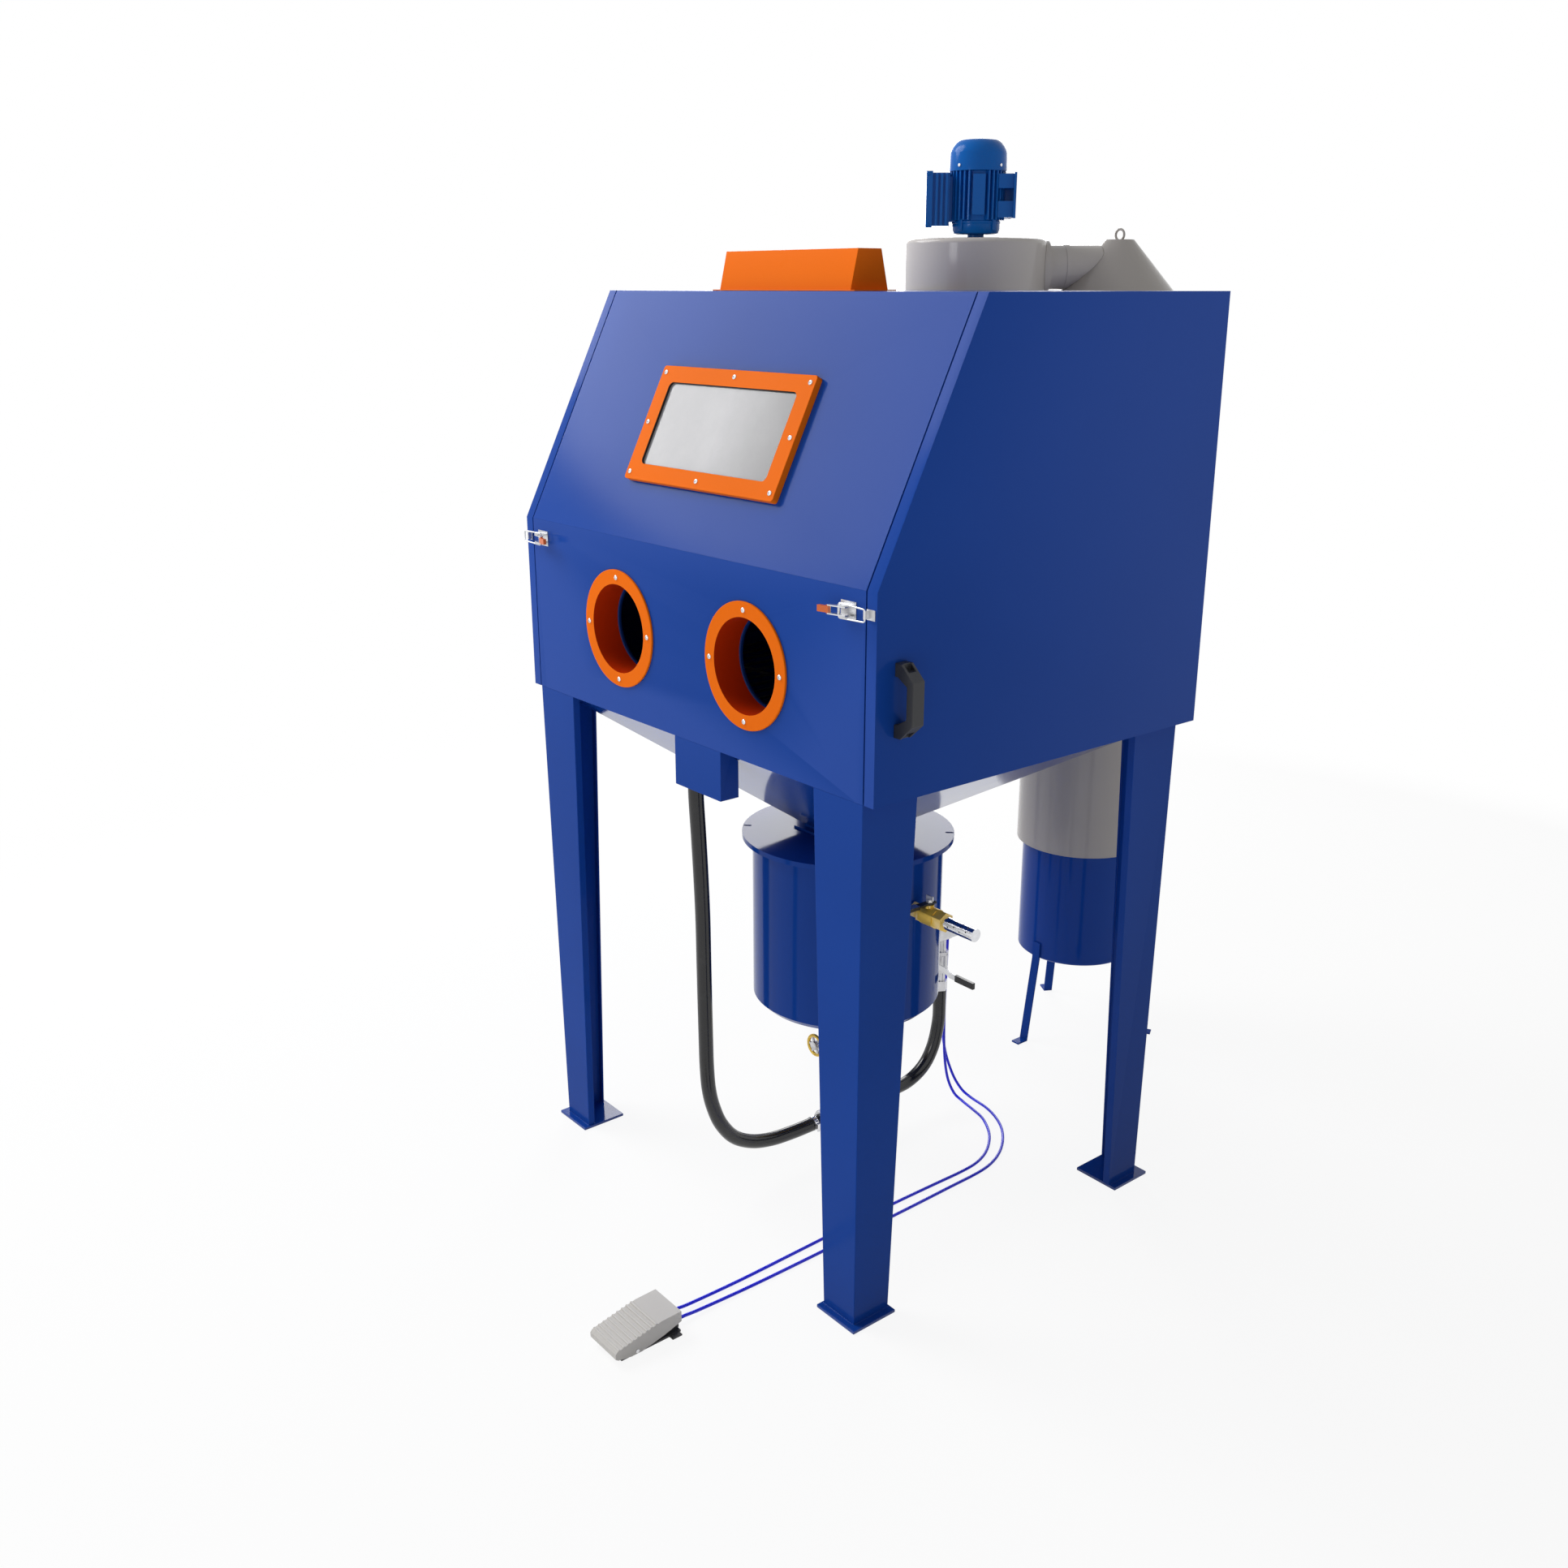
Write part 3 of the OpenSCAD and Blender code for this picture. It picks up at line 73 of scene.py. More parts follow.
def at(x, y, z):
    """A point measured in millimetres from the front panel's foot, in the row frame."""
    return Vector((x * MM, y * MM - MIDDLE_Y, z * MM))


# ---------------------------------------------------------------- settings


class FinishSettings(bpy.types.PropertyGroup):
    """Colours of the paints and coverings"""

    blue: bpy.props.FloatVectorProperty(
        name="Cabinet blue", description="Colour of the cabinet's gloss paint", subtype="COLOR",
        size=3, min=0, max=1, default=(0.0072, 0.056, 0.325))
    orange: bpy.props.FloatVectorProperty(
        name="Trim orange", description="Colour of the window frame, rings and lamp housing",
        subtype="COLOR", size=3, min=0, max=1, default=(0.9, 0.17, 0.008))
    # The fan housing and exhaust pipe take a paler fixed grey, painted light, in place of this
    # colour.
    grey: bpy.props.FloatVectorProperty(
        name="Duct grey", description="Colour of the fan housing and the dust collector",
        subtype="COLOR", size=3, min=0, max=1, default=(0.47, 0.44, 0.41))
    motor: bpy.props.FloatVectorProperty(
        name="Motor blue", description="Colour of the motor's paint", subtype="COLOR",
        size=3, min=0, max=1, default=(0.0, 0.12, 0.46))
    pedal: bpy.props.FloatVectorProperty(
        name="Pedal grey", description="Colour of the pedal's plastic", subtype="COLOR",
        size=3, min=0, max=1, default=(0.62, 0.60, 0.57))
    tube: bpy.props.FloatVectorProperty(
        name="Tube blue", description="Colour of the pilot tubes", subtype="COLOR",
        size=3, min=0, max=1, default=(0.01, 0.012, 0.92))


class EdgeSettings(bpy.types.PropertyGroup):
    """Roundings of the edges"""

    sheet: bpy.props.FloatProperty(
        name="Sheet edge", description="Radius on folded sheet metal", default=0.0022, min=0.0002,
        max=0.005, unit="LENGTH", subtype="DISTANCE")
    fine: bpy.props.FloatProperty(
        name="Fine edge", description="Radius on fittings and small parts", default=0.0005,
        min=0.0001, max=0.002, unit="LENGTH", subtype="DISTANCE")
    moulded: bpy.props.FloatProperty(
        name="Moulded edge", description="Radius on plastic mouldings", default=0.0016,
        min=0.0002, max=0.005, unit="LENGTH", subtype="DISTANCE")
    hose_sides: bpy.props.IntProperty(
        name="Hose sides", description="Faces round a hose", default=28, min=12, max=64)


class StageSettings(bpy.types.PropertyGroup):
    """Camera, lamps and floor"""

    lens: bpy.props.FloatProperty(
        name="Lens", description="Focal length of the camera", default=35.0, min=10, max=200,
        unit="CAMERA")
    key: bpy.props.FloatProperty(
        name="Key light", description="Power of the large lamp above the front left", default=150.0,
        min=0, max=5000, unit="POWER")
    fill: bpy.props.FloatProperty(
        name="Front light", description="Power of the lamp before the front", default=23.0,
        min=0, max=5000, unit="POWER")
    back: bpy.props.FloatProperty(
        name="Back light", description="Power of the lamp behind the left", default=60.0,
        min=0, max=5000, unit="POWER")
    ambient: bpy.props.FloatProperty(
        name="Ambient", description="Strength of the even light from all round", default=0.30,
        min=0, max=3)


def settings():
    return bpy.context.scene.blast_cabinet


# ---------------------------------------------------------------- shader maths


class Sock:
    """A socket that takes part in expressions; each operator adds its Math node."""

    def __init__(self, net, out):
        self.net, self.out = net, out

    def _math(self, op, other):
        return self.net.node("ShaderNodeMath", {"operation": op}, {0: self, 1: other})

    def __add__(self, o): return self._math("ADD", o)
    def __radd__(self, o): return self._math("ADD", o)
    def __sub__(self, o): return self._math("SUBTRACT", o)
    def __mul__(self, o): return self._math("MULTIPLY", o)
    def __rmul__(self, o): return self._math("MULTIPLY", o)
    def __truediv__(self, o): return self._math("DIVIDE", o)
    def larger(self, o): return self._math("MAXIMUM", o)
    def clip(self): return self.net.node("ShaderNodeClamp", {}, {"Value": self})

    def step(self, low, high):
        """0 below low, 1 above high, smooth between."""
        return self.net.node("ShaderNodeMapRange", {"interpolation_type": "SMOOTHSTEP"},
                             {"Value": self, "From Min": low, "From Max": high})


class Net:
    """A material's node tree."""

    def __init__(self, name, **surface):
        self.mat = bpy.data.materials.new(name)
        self.mat.use_nodes = True
        self.tree = self.mat.node_tree
        self.tree.nodes.clear()
        self.bsdf = self.tree.nodes.new("ShaderNodeBsdfPrincipled")
        self.end = self.tree.nodes.new("ShaderNodeOutputMaterial")
        self.tree.links.new(self.bsdf.outputs[0], self.end.inputs[0])
        self.set(**surface)

    def put(self, socket, value):
        if isinstance(value, Sock):
            self.tree.links.new(value.out, socket)
        elif socket.type == "RGBA" and len(value) == 3:
            socket.default_value = (*value, 1)
        else:
            socket.default_value = value

    def node(self, kind, props, inputs, out=0):
        made = self.tree.nodes.new(kind)
        for key, value in props.items():
            setattr(made, key, value)
        for key, value in inputs.items():
            self.put(made.inputs[key], value)
        return Sock(self, made.outputs[out])

    def set(self, **surface):
        for key, value in surface.items():
            self.put(self.bsdf.inputs[key.replace("_", " ")], value)

    def where(self, scale=(1, 1, 1)):
        place = self.node("ShaderNodeTexCoord", {}, {}, "Object")
        return self.node("ShaderNodeMapping", {}, {"Vector": place, "Scale": scale})

    def axis(self, name):
        place = self.node("ShaderNodeTexCoord", {}, {}, "Object")
        return self.node("ShaderNodeSeparateXYZ", {}, {"Vector": place}, name)

    def noise(self, scale, detail=3.0, rough=0.5, where=None):
        return self.node("ShaderNodeTexNoise", {}, {
            "Vector": where or self.where(), "Scale": scale, "Detail": detail, "Roughness": rough})

    def cells(self, scale):
        return self.node("ShaderNodeTexVoronoi", {"feature": "F1"},
                         {"Vector": self.where(), "Scale": scale}, "Distance")

    def mix(self, factor, a, b):
        return self.node("ShaderNodeMix", {"data_type": "RGBA"}, {"Factor": factor, 6: a, 7: b}, 2)

    def edges(self, low=0.53, high=0.62):
        """1 on convex edges, from Pointiness."""
        bend = self.node("ShaderNodeNewGeometry", {}, {}, "Pointiness")
        return bend.step(low, high)

    def bump(self, height, distance):
        self.put(self.bsdf.inputs["Normal"], self.node("ShaderNodeBump", {}, {
            "Height": height, "Distance": distance, "Strength": 1.0}))


def darker(colour, share):
    return tuple(c * share for c in colour)


def lighter(colour, share):
    return tuple(c + (1 - c) * share for c in colour)


def gloss_paint(name, colour, roughness=0.1, ior=1.2, peel=0.00001):
    """Sprayed gloss paint: orange peel, patches of duller gloss, a random drift of tone, and convex
    edges painted paler as an edge highlight.
    """
    net = Net(name, IOR=ior)
    drift = net.noise(1.6, 2.0)
    speck = net.noise(900.0, 2.0)
    shade = net.mix(drift.step(0.3, 0.75), darker(colour, 0.9), darker(colour, 1.06))
    shade = net.mix(speck.step(0.62, 0.8) * 0.5, shade, darker(colour, 1.2))
    # Convex edges mix up to half toward a paler colour: a painted edge highlight.
    net.set(Base_Color=net.mix(net.edges() * 0.5, shade, lighter(darker(colour, 1.2), 0.03)),
            Roughness=roughness + 0.07 * net.noise(14.0, 4.0))
    net.bump(net.noise(170.0, 2.0, 0.4) + 0.3 * net.noise(520.0, 1.0), peel)
    return net.mat


def plated(name, colour, roughness=0.28, blue=0.02):
    """Zinc or chrome plating with rolled grain and cloudy patches."""
    net = Net(name, Metallic=1.0, IOR=2.0)
    cloud = net.noise(42.0, 5.0, 0.6)
    grain = net.noise(380.0, 3.0, 0.5, net.where((1, 1, 14)))
    tint = (colour[0] * (1 - blue), colour[1], min(1, colour[2] * (1 + blue)))
    net.set(Base_Color=net.mix(cloud.step(0.35, 0.7), darker(colour, 0.86), tint),
            Roughness=roughness + 0.14 * cloud * grain)
    net.bump(grain, 0.000015)
    return net.mat


def cast_metal(name, colour, roughness=0.34, metallic=1.0):
    """Tumbled casting: fine pits, brighter worn edges, dull hollows."""
    net = Net(name, Metallic=metallic)
    grit = net.noise(700.0, 4.0, 0.6)
    dull = net.noise(36.0, 4.0)
    body = net.mix(dull.step(0.35, 0.7), darker(colour, 0.78), colour)
    net.set(Base_Color=net.mix(net.edges(), body, lighter(colour, 0.25)),
            Roughness=roughness + 0.22 * dull * grit)
    net.bump(grit - 0.5 * net.cells(420.0), 0.00005)
    return net.mat


def machined(name, colour, roughness=0.3):
    """Bare steel with tool marks and light handling stains."""
    net = Net(name, Metallic=1.0)
    rings = net.node("ShaderNodeTexWave", {"bands_direction": "Z"}, {
        "Vector": net.where(), "Scale": 420.0, "Distortion": 1.2, "Detail": 2.0})
    stain = net.noise(24.0, 5.0, 0.65)
    net.set(Base_Color=net.mix(stain.step(0.4, 0.75), colour, darker(colour, 0.6)),
            Roughness=roughness + 0.2 * stain)
    net.bump(rings, 0.00001)
    return net.mat


def moulded(name, colour, roughness=0.42, grain=420.0, depth=0.00006):
    """Moulded plastic with spark-eroded texture and edges rubbed shiny."""
    net = Net(name, IOR=1.47)
    skin = net.noise(grain, 3.0, 0.6)
    dust = net.noise(18.0, 5.0, 0.6)
    worn = net.edges(0.52, 0.6)
    net.set(Base_Color=net.mix(dust.step(0.45, 0.8) * 0.5, colour, lighter(colour, 0.06)),
            Roughness=(roughness + 0.14 * skin - 0.12 * worn).clip())
    net.bump(skin + 0.5 * net.cells(grain * 1.4), depth)
    return net.mat


def rubber(name, colour, roughness=0.55, bloom=0.03, ior=1.35, depth=0.00004):
    """Black rubber with pale bloom and a fine cloth-wrap texture."""
    net = Net(name, IOR=ior)
    wrap = net.node("ShaderNodeTexWave", {"bands_direction": "DIAGONAL"}, {
        "Vector": net.where(), "Scale": 260.0, "Distortion": 2.0, "Detail": 2.0})
    patch = net.noise(30.0, 5.0, 0.7)
    net.set(Base_Color=net.mix(patch.step(0.5, 0.85), colour, lighter(colour, bloom)),
            Roughness=roughness + 0.2 * patch - 0.1 * wrap)
    net.bump(wrap * 0.6 + net.noise(900.0, 2.0), depth)
    return net.mat


def clear_glass(name, tint, alpha, ior=1.5, painted_shade_span=None):
    """Sheet glass with a faint film of blasting dust; when a span is given, its colour darkens
    across it as painted shade.
    """
    net = Net(name, IOR=ior, Base_Color=tint)
    film = net.noise(9.0, 5.0, 0.65)
    # Painted shade: the colour darkens from start to stop along X, standing in for the glass's
    # fading reflection.
    if painted_shade_span:
        start, stop = painted_shade_span
        net.set(Base_Color=net.mix(((net.axis("X") - start) / (stop - start)).clip(),
                                   tint, darker(tint, 0.3)))
    net.set(Roughness=0.06 + 0.12 * film.step(0.4, 0.8), Alpha=alpha + 0.1 * film.step(0.35, 0.8))
    return net.mat


def pleated_paper(name):
    net = Net(name, IOR=1.35)
    fibre = net.noise(600.0, 5.0, 0.7)
    dust = net.noise(7.0, 5.0, 0.7)
    net.set(Base_Color=net.mix(dust.step(0.4, 0.8), (0.74, 0.72, 0.66), (0.5, 0.46, 0.4)),
            Roughness=0.85 + 0.1 * fibre)
    net.bump(fibre, 0.0001)
    return net.mat


def lamp_white(name):
    net = Net(name, IOR=1.5)
    haze = net.noise(20.0, 3.0)
    net.set(Base_Color=net.mix(haze, (0.86, 0.87, 0.86), (0.8, 0.8, 0.78)),
            Roughness=0.2 + 0.1 * haze, Emission_Color=(1.0, 0.97, 0.9), Emission_Strength=0.25)
    return net.mat


MATS = {}


def make_materials():
    f = settings().finish
    blue, orange, grey = tuple(f.blue), tuple(f.orange), tuple(f.grey)
    MATS.update({
        "blue": gloss_paint("cabinet_blue_gloss", blue, 0.12, 1.13),
        "blue_round": gloss_paint("vessel_blue_gloss", blue, 0.07, 1.19),
        "blue_plate": gloss_paint("foot_plate_blue_gloss", blue, 0.05, 1.42),
        # A darker copy of the cabinet blue: painted shade for the arm rings' innermost faces.
        "blue_painted_shade": gloss_paint("cabinet_blue_shaded", darker(blue, 0.55)),
        "orange": gloss_paint("trim_orange_gloss", orange, 0.25, 1.06),
        # A darker, redder copy of the trim orange: painted shade for the faces inside the arm
        # rings' collars.
        "orange_painted_shade": gloss_paint("trim_orange_inside", (0.5, 0.03, 0.002), 0.25, 1.1),
        "grey": gloss_paint("duct_grey_gloss", grey, 0.1, 1.3),
        # A paler copy of the duct grey for the fan housing and exhaust pipe: painted light on the
        # same paint.
        "grey_painted_light": gloss_paint("fan_grey_gloss", (0.62, 0.585, 0.55), 0.08, 1.3),
        "motor": gloss_paint("motor_blue_enamel", tuple(f.motor), 0.13, 1.23, 0.00002),
        "zinc": plated("zinc_plate", (0.72, 0.72, 0.73), 0.3),
        "chrome": plated("chrome_plate", (0.8, 0.8, 0.82), 0.1, 0.01),
        "brass": cast_metal("cast_brass", (1.0, 0.66, 0.09), 0.25, 0.4),
        "white_metal": cast_metal("bright_fitting", (0.66, 0.66, 0.68), 0.25),
        "steel": machined("bare_steel", (0.42, 0.42, 0.43), 0.32),
        "grate": machined("grate_steel", (0.2, 0.2, 0.21), 0.45),
        "rubber": rubber("black_rubber", (0.012, 0.012, 0.012)),
        "hose": rubber("hose_cover", (0.012, 0.012, 0.013), 0.12, 0.02, 1.5, 0.000008),
        "black": moulded("black_coating", (0.010, 0.010, 0.011), 0.3, 600.0, 0.00002),
        "plastic": moulded("dark_grey_moulding", (0.017, 0.018, 0.022), 0.4),
        "grip": moulded("orange_vinyl_grip", (0.66, 0.13, 0.02), 0.28, 300.0, 0.00003),
        "tube": moulded("blue_nylon_tube", tuple(f.tube), 0.22, 200.0, 0.00001),
        "pedal": moulded("pedal_grey_moulding", tuple(f.pedal), 0.42, 520.0, 0.00006),
        "pedal_dark": moulded("pedal_base_moulding", (0.035, 0.035, 0.037), 0.45),
        # The window glass darkens from its middle to its edge at largest X: painted shade.
        "glass": clear_glass(
            "window_sheet_glass", (0.30, 0.297, 0.312), 0.88, 1.4,
            [sum(corner[0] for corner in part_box("window_glass")) / 2,
             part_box("window_glass")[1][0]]),
        "lens": clear_glass("lamp_cover_glass", (0.8, 0.82, 0.84), 0.3),
        "paper": pleated_paper("filter_paper"),
        "lamp": lamp_white("lamp_tube_white"),
    })


# ---------------------------------------------------------------- mesh helpers


def linked(name, data):
    made = bpy.data.objects.new(name, data)
    bpy.context.scene.collection.objects.link(made)
    return made


def add_object(name, mesh, *mats):
    made = linked(name, mesh)
    for mat in mats:
        mesh.materials.append(MATS[mat])
    return made


def evaluated(made):
    """The object's modifiers turned into its plain mesh."""
    graph = bpy.context.evaluated_depsgraph_get()
    mesh = bpy.data.meshes.new_from_object(made.evaluated_get(graph))
    made.modifiers.clear()
    old = made.data
    made.data = mesh
    mesh.name = made.name
    if old.users == 0:
        bpy.data.meshes.remove(old)


def shade(mesh, angle=32):
    """Smooth shading that stays sharp across creases."""
    mesh.polygons.foreach_set("use_smooth", [True] * len(mesh.polygons))
    edit = bmesh.new()
    edit.from_mesh(mesh)
    limit = math.radians(angle)
    for edge in edit.edges:
        if len(edge.link_faces) == 2:
            edge.smooth = edge.calc_face_angle(0) < limit
    edit.to_mesh(mesh)
    edit.free()


def modified(name, mesh, kind, **values):
    """The mesh after one modifier."""
    holder = linked(name, mesh)
    tool = holder.modifiers.new(name, kind)
    for key, value in values.items():
        setattr(tool, key, value)
    evaluated(holder)
    done = holder.data
    bpy.data.objects.remove(holder)
    return done


def rounded(mesh, width, segments):
    """Bevels the mesh's creases."""
    return modified("rounding", mesh, "BEVEL", width=width, segments=segments,
                    limit_method="ANGLE", angle_limit=math.radians(30), use_clamp_overlap=True,
                    miter_outer="MITER_ARC")


def levelled(mesh):
    """Weights the normals by area, so that flat panels stay flat beside their rounded edges."""
    return modified("levelling", mesh, "WEIGHTED_NORMAL", weight=100, keep_sharp=True)


def dressed(node, *mats, edge=None, segments=2, parts=()):
    """Replaces a CAD node by a copy with rounded edges. parts is a list of (material index, test
    of a face's centre in millimetres from the front panel's foot), with a third entry where all
    the face's corners are tested instead."""
    source = frame["nodes"][node]
    edit = bmesh.new()
    edit.from_mesh(source.data)
    bmesh.ops.remove_doubles(edit, verts=edit.verts, dist=0.00001)
    bmesh.ops.dissolve_limit(edit, angle_limit=math.radians(0.4), verts=edit.verts,
                             edges=edit.edges)
    for index, test, *corners in parts:
        for face in edit.faces:
            spots = [v.co for v in face.verts] if corners else [face.calc_center_median()]
            if all(test(p.x / MM, (p.y + MIDDLE_Y) / MM, p.z / MM) for p in spots):
                face.material_index = index
    mesh = bpy.data.meshes.new(node + "_piece")
    for mat in mats:
        mesh.materials.append(MATS[mat])
    edit.to_mesh(mesh)
    edit.free()
    if edge:
        mesh = rounded(mesh, edge, segments)
    shade(mesh)
    made = add_object(node + "_piece", levelled(mesh))
    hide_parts(node)
    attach(made, BODY_OF[node])
    return made


class Shape:
    """Collects solids in one mesh; lengths in millimetres from the front panel's foot."""

    def __init__(self):
        self.edit = bmesh.new()

    def box(self, low, high, turn=None):
        made = bmesh.ops.create_cube(self.edit, size=1)["verts"]
        a, b = Vector(low), Vector(high)
        matrix = Matrix.Diagonal((*(b - a), 1))
        matrix = Matrix.Translation((a + b) / 2) @ (turn or Matrix()) @ matrix
        bmesh.ops.transform(self.edit, matrix=matrix, verts=made)

    def lathe(self, profile, base, axis=(0, 0, 1), steps=32):
        """Turns (radius, height) pairs about the axis that leaves base."""
        turn = Vector((0, 0, 1)).rotation_difference(Vector(axis)).to_matrix().to_4x4()
        rows = []
        for radius, height in profile:
            if radius < 1e-6:
                rows.append([self.edit.verts.new((0, 0, height))])
            else:
                rows.append([self.edit.verts.new((
                    radius * math.cos(math.tau * k / steps),
                    radius * math.sin(math.tau * k / steps), height)) for k in range(steps)])
        for low, high in zip(rows, rows[1:]):
            for k in range(steps):
                j = (k + 1) % steps
                if len(low) == 1 and len(high) == 1:
                    continue
                if len(low) == 1:
                    ring = (low[0], high[j], high[k])
                elif len(high) == 1:
                    ring = (low[k], low[j], high[0])
                else:
                    ring = (low[k], low[j], high[j], high[k])
                self.edit.faces.new(ring)
        made = [vert for row in rows for vert in row]
        bmesh.ops.transform(self.edit, matrix=Matrix.Translation(Vector(base)) @ turn, verts=made)

    def piece(self, name, body, mat, edge):
        bmesh.ops.remove_doubles(self.edit, verts=self.edit.verts, dist=0.0001)
        bmesh.ops.transform(
            self.edit, verts=self.edit.verts,
            matrix=Matrix.Translation((0, -MIDDLE_Y, 0)) @ Matrix.Diagonal((MM, MM, MM, 1)))
        bmesh.ops.recalc_face_normals(self.edit, faces=self.edit.faces)
        mesh = bpy.data.meshes.new(name)
        mesh.materials.append(MATS[mat])
        self.edit.to_mesh(mesh)
        self.edit.free()
        mesh = rounded(mesh, edge, 2)
        shade(mesh)
        made = add_object(name, levelled(mesh))
        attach(made, body)
        return made


# ---------------------------------------------------------------- hoses


def smooth_route(points):
    """Points of a smooth curve through the route's points, in metres."""
    share = 6  # steps between two points
    p = [at(*q) for q in points]
    out = []
    for i in range(len(p) - 1):
        before = p[i - 1] if i else p[i] * 2 - p[i + 1]
        after = p[i + 2] if i + 2 < len(p) else p[i + 1] * 2 - p[i]
        for k in range(share):
            t = k / share
            out.append(0.5 * ((2 * p[i]) + (p[i + 1] - before) * t
                              + (2 * before - 5 * p[i] + 4 * p[i + 1] - after) * t * t
                              + (3 * p[i] - before - 3 * p[i + 1] + after) * t ** 3))
    out.append(p[-1])
    return out


def hose_mesh(name, route, radius, sides):
    """Round tube along the route, with closed ends and a UV map that follows its length."""
    edit = bmesh.new()
    uv = edit.loops.layers.uv.new("along")
    side = Vector((1, 0.2, 0.1))
    rows, run, lengths = [], 0.0, []
    for i, point in enumerate(route):
        ahead = (route[min(i + 1, len(route) - 1)] - route[max(i - 1, 0)]).normalized()
        side = (side - ahead * side.dot(ahead)).normalized()
        up = ahead.cross(side)
        rows.append([edit.verts.new(point + radius * (
            math.cos(math.tau * k / sides) * side + math.sin(math.tau * k / sides) * up))
            for k in range(sides)])
        run += (point - route[i - 1]).length if i else 0.0
        lengths.append(run)
    for i in range(len(rows) - 1):
        for k in range(sides):
            j = (k + 1) % sides
            face = edit.faces.new((rows[i][k], rows[i][j], rows[i + 1][j], rows[i + 1][k]))
            for loop, (u, v) in zip(face.loops, ((k, i), (k + 1, i), (k + 1, i + 1), (k, i + 1))):
                loop[uv].uv = (u / sides, lengths[v])
    edit.faces.new(list(reversed(rows[0])))
    edit.faces.new(rows[-1])
    mesh = bpy.data.meshes.new(name)
    edit.to_mesh(mesh)
    edit.free()
    shade(mesh, 50)
    return mesh, run


# Paths of the cords, in millimetres from the front panel's foot
BLAST_ROUTE = [
    (10, 22, 866), (10, 23, 836), (8, 28, 770), (6, 33, 690), (4, 37, 606), (2, 39, 520),
    (0, 41, 440), (0, 42, 356), (0, 43, 300), (0, 47, 248), (0, 57, 205), (0, 75, 162),
    (0, 106, 122), (0, 150, 95), (0, 200, 81), (0, 254, 76), (0, 298, 75), (0, 328, 75)]
AIR_ROUTE = [
    (0, 667, 272), (0, 667, 242), (0, 666, 196), (0, 652, 140), (0, 624, 100), (0, 578, 78),
    (0, 520, 75), (0, 476, 75), (0, 446, 75)]
TUBE_A = [
    (-8, 694, 383), (-8, 694, 370), (-9, 694, 300), (-10, 694, 200), (-8, 696, 110), (0, 700, 48),
    (18, 704, 14), (44, 705, 4), (81, 698, 3.2), (122, 687, 3.2), (163, 662, 3.2), (193, 634, 3.2),
    (221, 594, 3.2), (237, 550, 3.2), (241, 500, 3.2), (239, 420, 3.2), (237, 322, 3.2),
    (237, 200, 3.2), (238, 77, 3.2), (239, -60, 3.2), (239, -170, 6), (239, -205, 9),
    (239, -226, 9)]
TUBE_B = [
    (-20, 694, 383), (-20, 694, 370), (-22, 696, 300), (-24, 700, 200), (-22, 710, 110),
    (-8, 722, 48), (14, 730, 14), (44, 731, 4), (95, 726, 3.2), (137, 712, 3.2), (176, 689, 3.2),
    (210, 657, 3.2), (238, 618, 3.2), (257, 574, 3.2), (265, 525, 3.2), (266, 440, 3.2),
    (267, 330, 3.2), (267, 200, 3.2), (267, 80, 3.2), (265, -60, 3.2), (263, -170, 6),
    (263, -205, 9), (263, -226, 9)]


def lay_hose(node, points, radius, mat, sides):
    route = smooth_route(points)
    mesh, length = hose_mesh(node + "_piece", route, radius * MM, sides)
    made = add_object(node + "_piece", mesh, mat)
    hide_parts(node)
    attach(made, "cabinet")


# ---------------------------------------------------------------- fasteners


def scatter(name, spots, template, mat, body):
    """Geometry Nodes: one copy of the template on each spot, turned to the spot's own axis.
    spots is a list of (point in millimetres, axis, turn about it)."""
    cloud = bpy.data.meshes.new(name + "_spots")
    cloud.from_pydata([at(*p) for p, _, _ in spots], [], [])
    turns = cloud.attributes.new("turn", "FLOAT_VECTOR", "POINT")
    for i, (_, axis, spin) in enumerate(spots):
        turn = Vector((0, 0, 1)).rotation_difference(Vector(axis)).to_matrix() @ Matrix.Rotation(
            spin, 3, "Z")
        turns.data[i].vector = turn.to_euler()
    holder = linked(name, cloud)

    tree = bpy.data.node_groups.new(name + "_rule", "GeometryNodeTree")
    face = tree.interface
    face.new_socket("Geometry", in_out="INPUT", socket_type="NodeSocketGeometry")
    size = face.new_socket("Size", in_out="INPUT", socket_type="NodeSocketFloat")
    size.default_value = 1.0
    face.new_socket("Geometry", in_out="OUTPUT", socket_type="NodeSocketGeometry")
    start = tree.nodes.new("NodeGroupInput")
    end = tree.nodes.new("NodeGroupOutput")
    thing = tree.nodes.new("GeometryNodeObjectInfo")
    thing.inputs["Object"].default_value = template
    turned = tree.nodes.new("GeometryNodeInputNamedAttribute")
    turned.data_type = "FLOAT_VECTOR"
    turned.inputs["Name"].default_value = "turn"
    spin = tree.nodes.new("FunctionNodeEulerToRotation")
    copies = tree.nodes.new("GeometryNodeInstanceOnPoints")
    solid = tree.nodes.new("GeometryNodeRealizeInstances")
    coat = tree.nodes.new("GeometryNodeSetMaterial")
    coat.inputs["Material"].default_value = MATS[mat]
    join = tree.links.new
    join(start.outputs["Geometry"], copies.inputs["Points"])
    join(thing.outputs["Geometry"], copies.inputs["Instance"])
    join(turned.outputs["Attribute"], spin.inputs["Euler"])
    join(spin.outputs["Rotation"], copies.inputs["Rotation"])
    join(start.outputs["Size"], copies.inputs["Scale"])
    join(copies.outputs["Instances"], solid.inputs["Geometry"])
    join(solid.outputs["Geometry"], coat.inputs["Geometry"])
    join(coat.outputs["Geometry"], end.inputs["Geometry"])

    rule = holder.modifiers.new("rule", "NODES")
    rule.node_group = tree
    rule[size.identifier] = 1.0
    evaluated(holder)
    shade(holder.data, 35)
    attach(holder, body)
    bpy.data.objects.remove(template)
    return holder


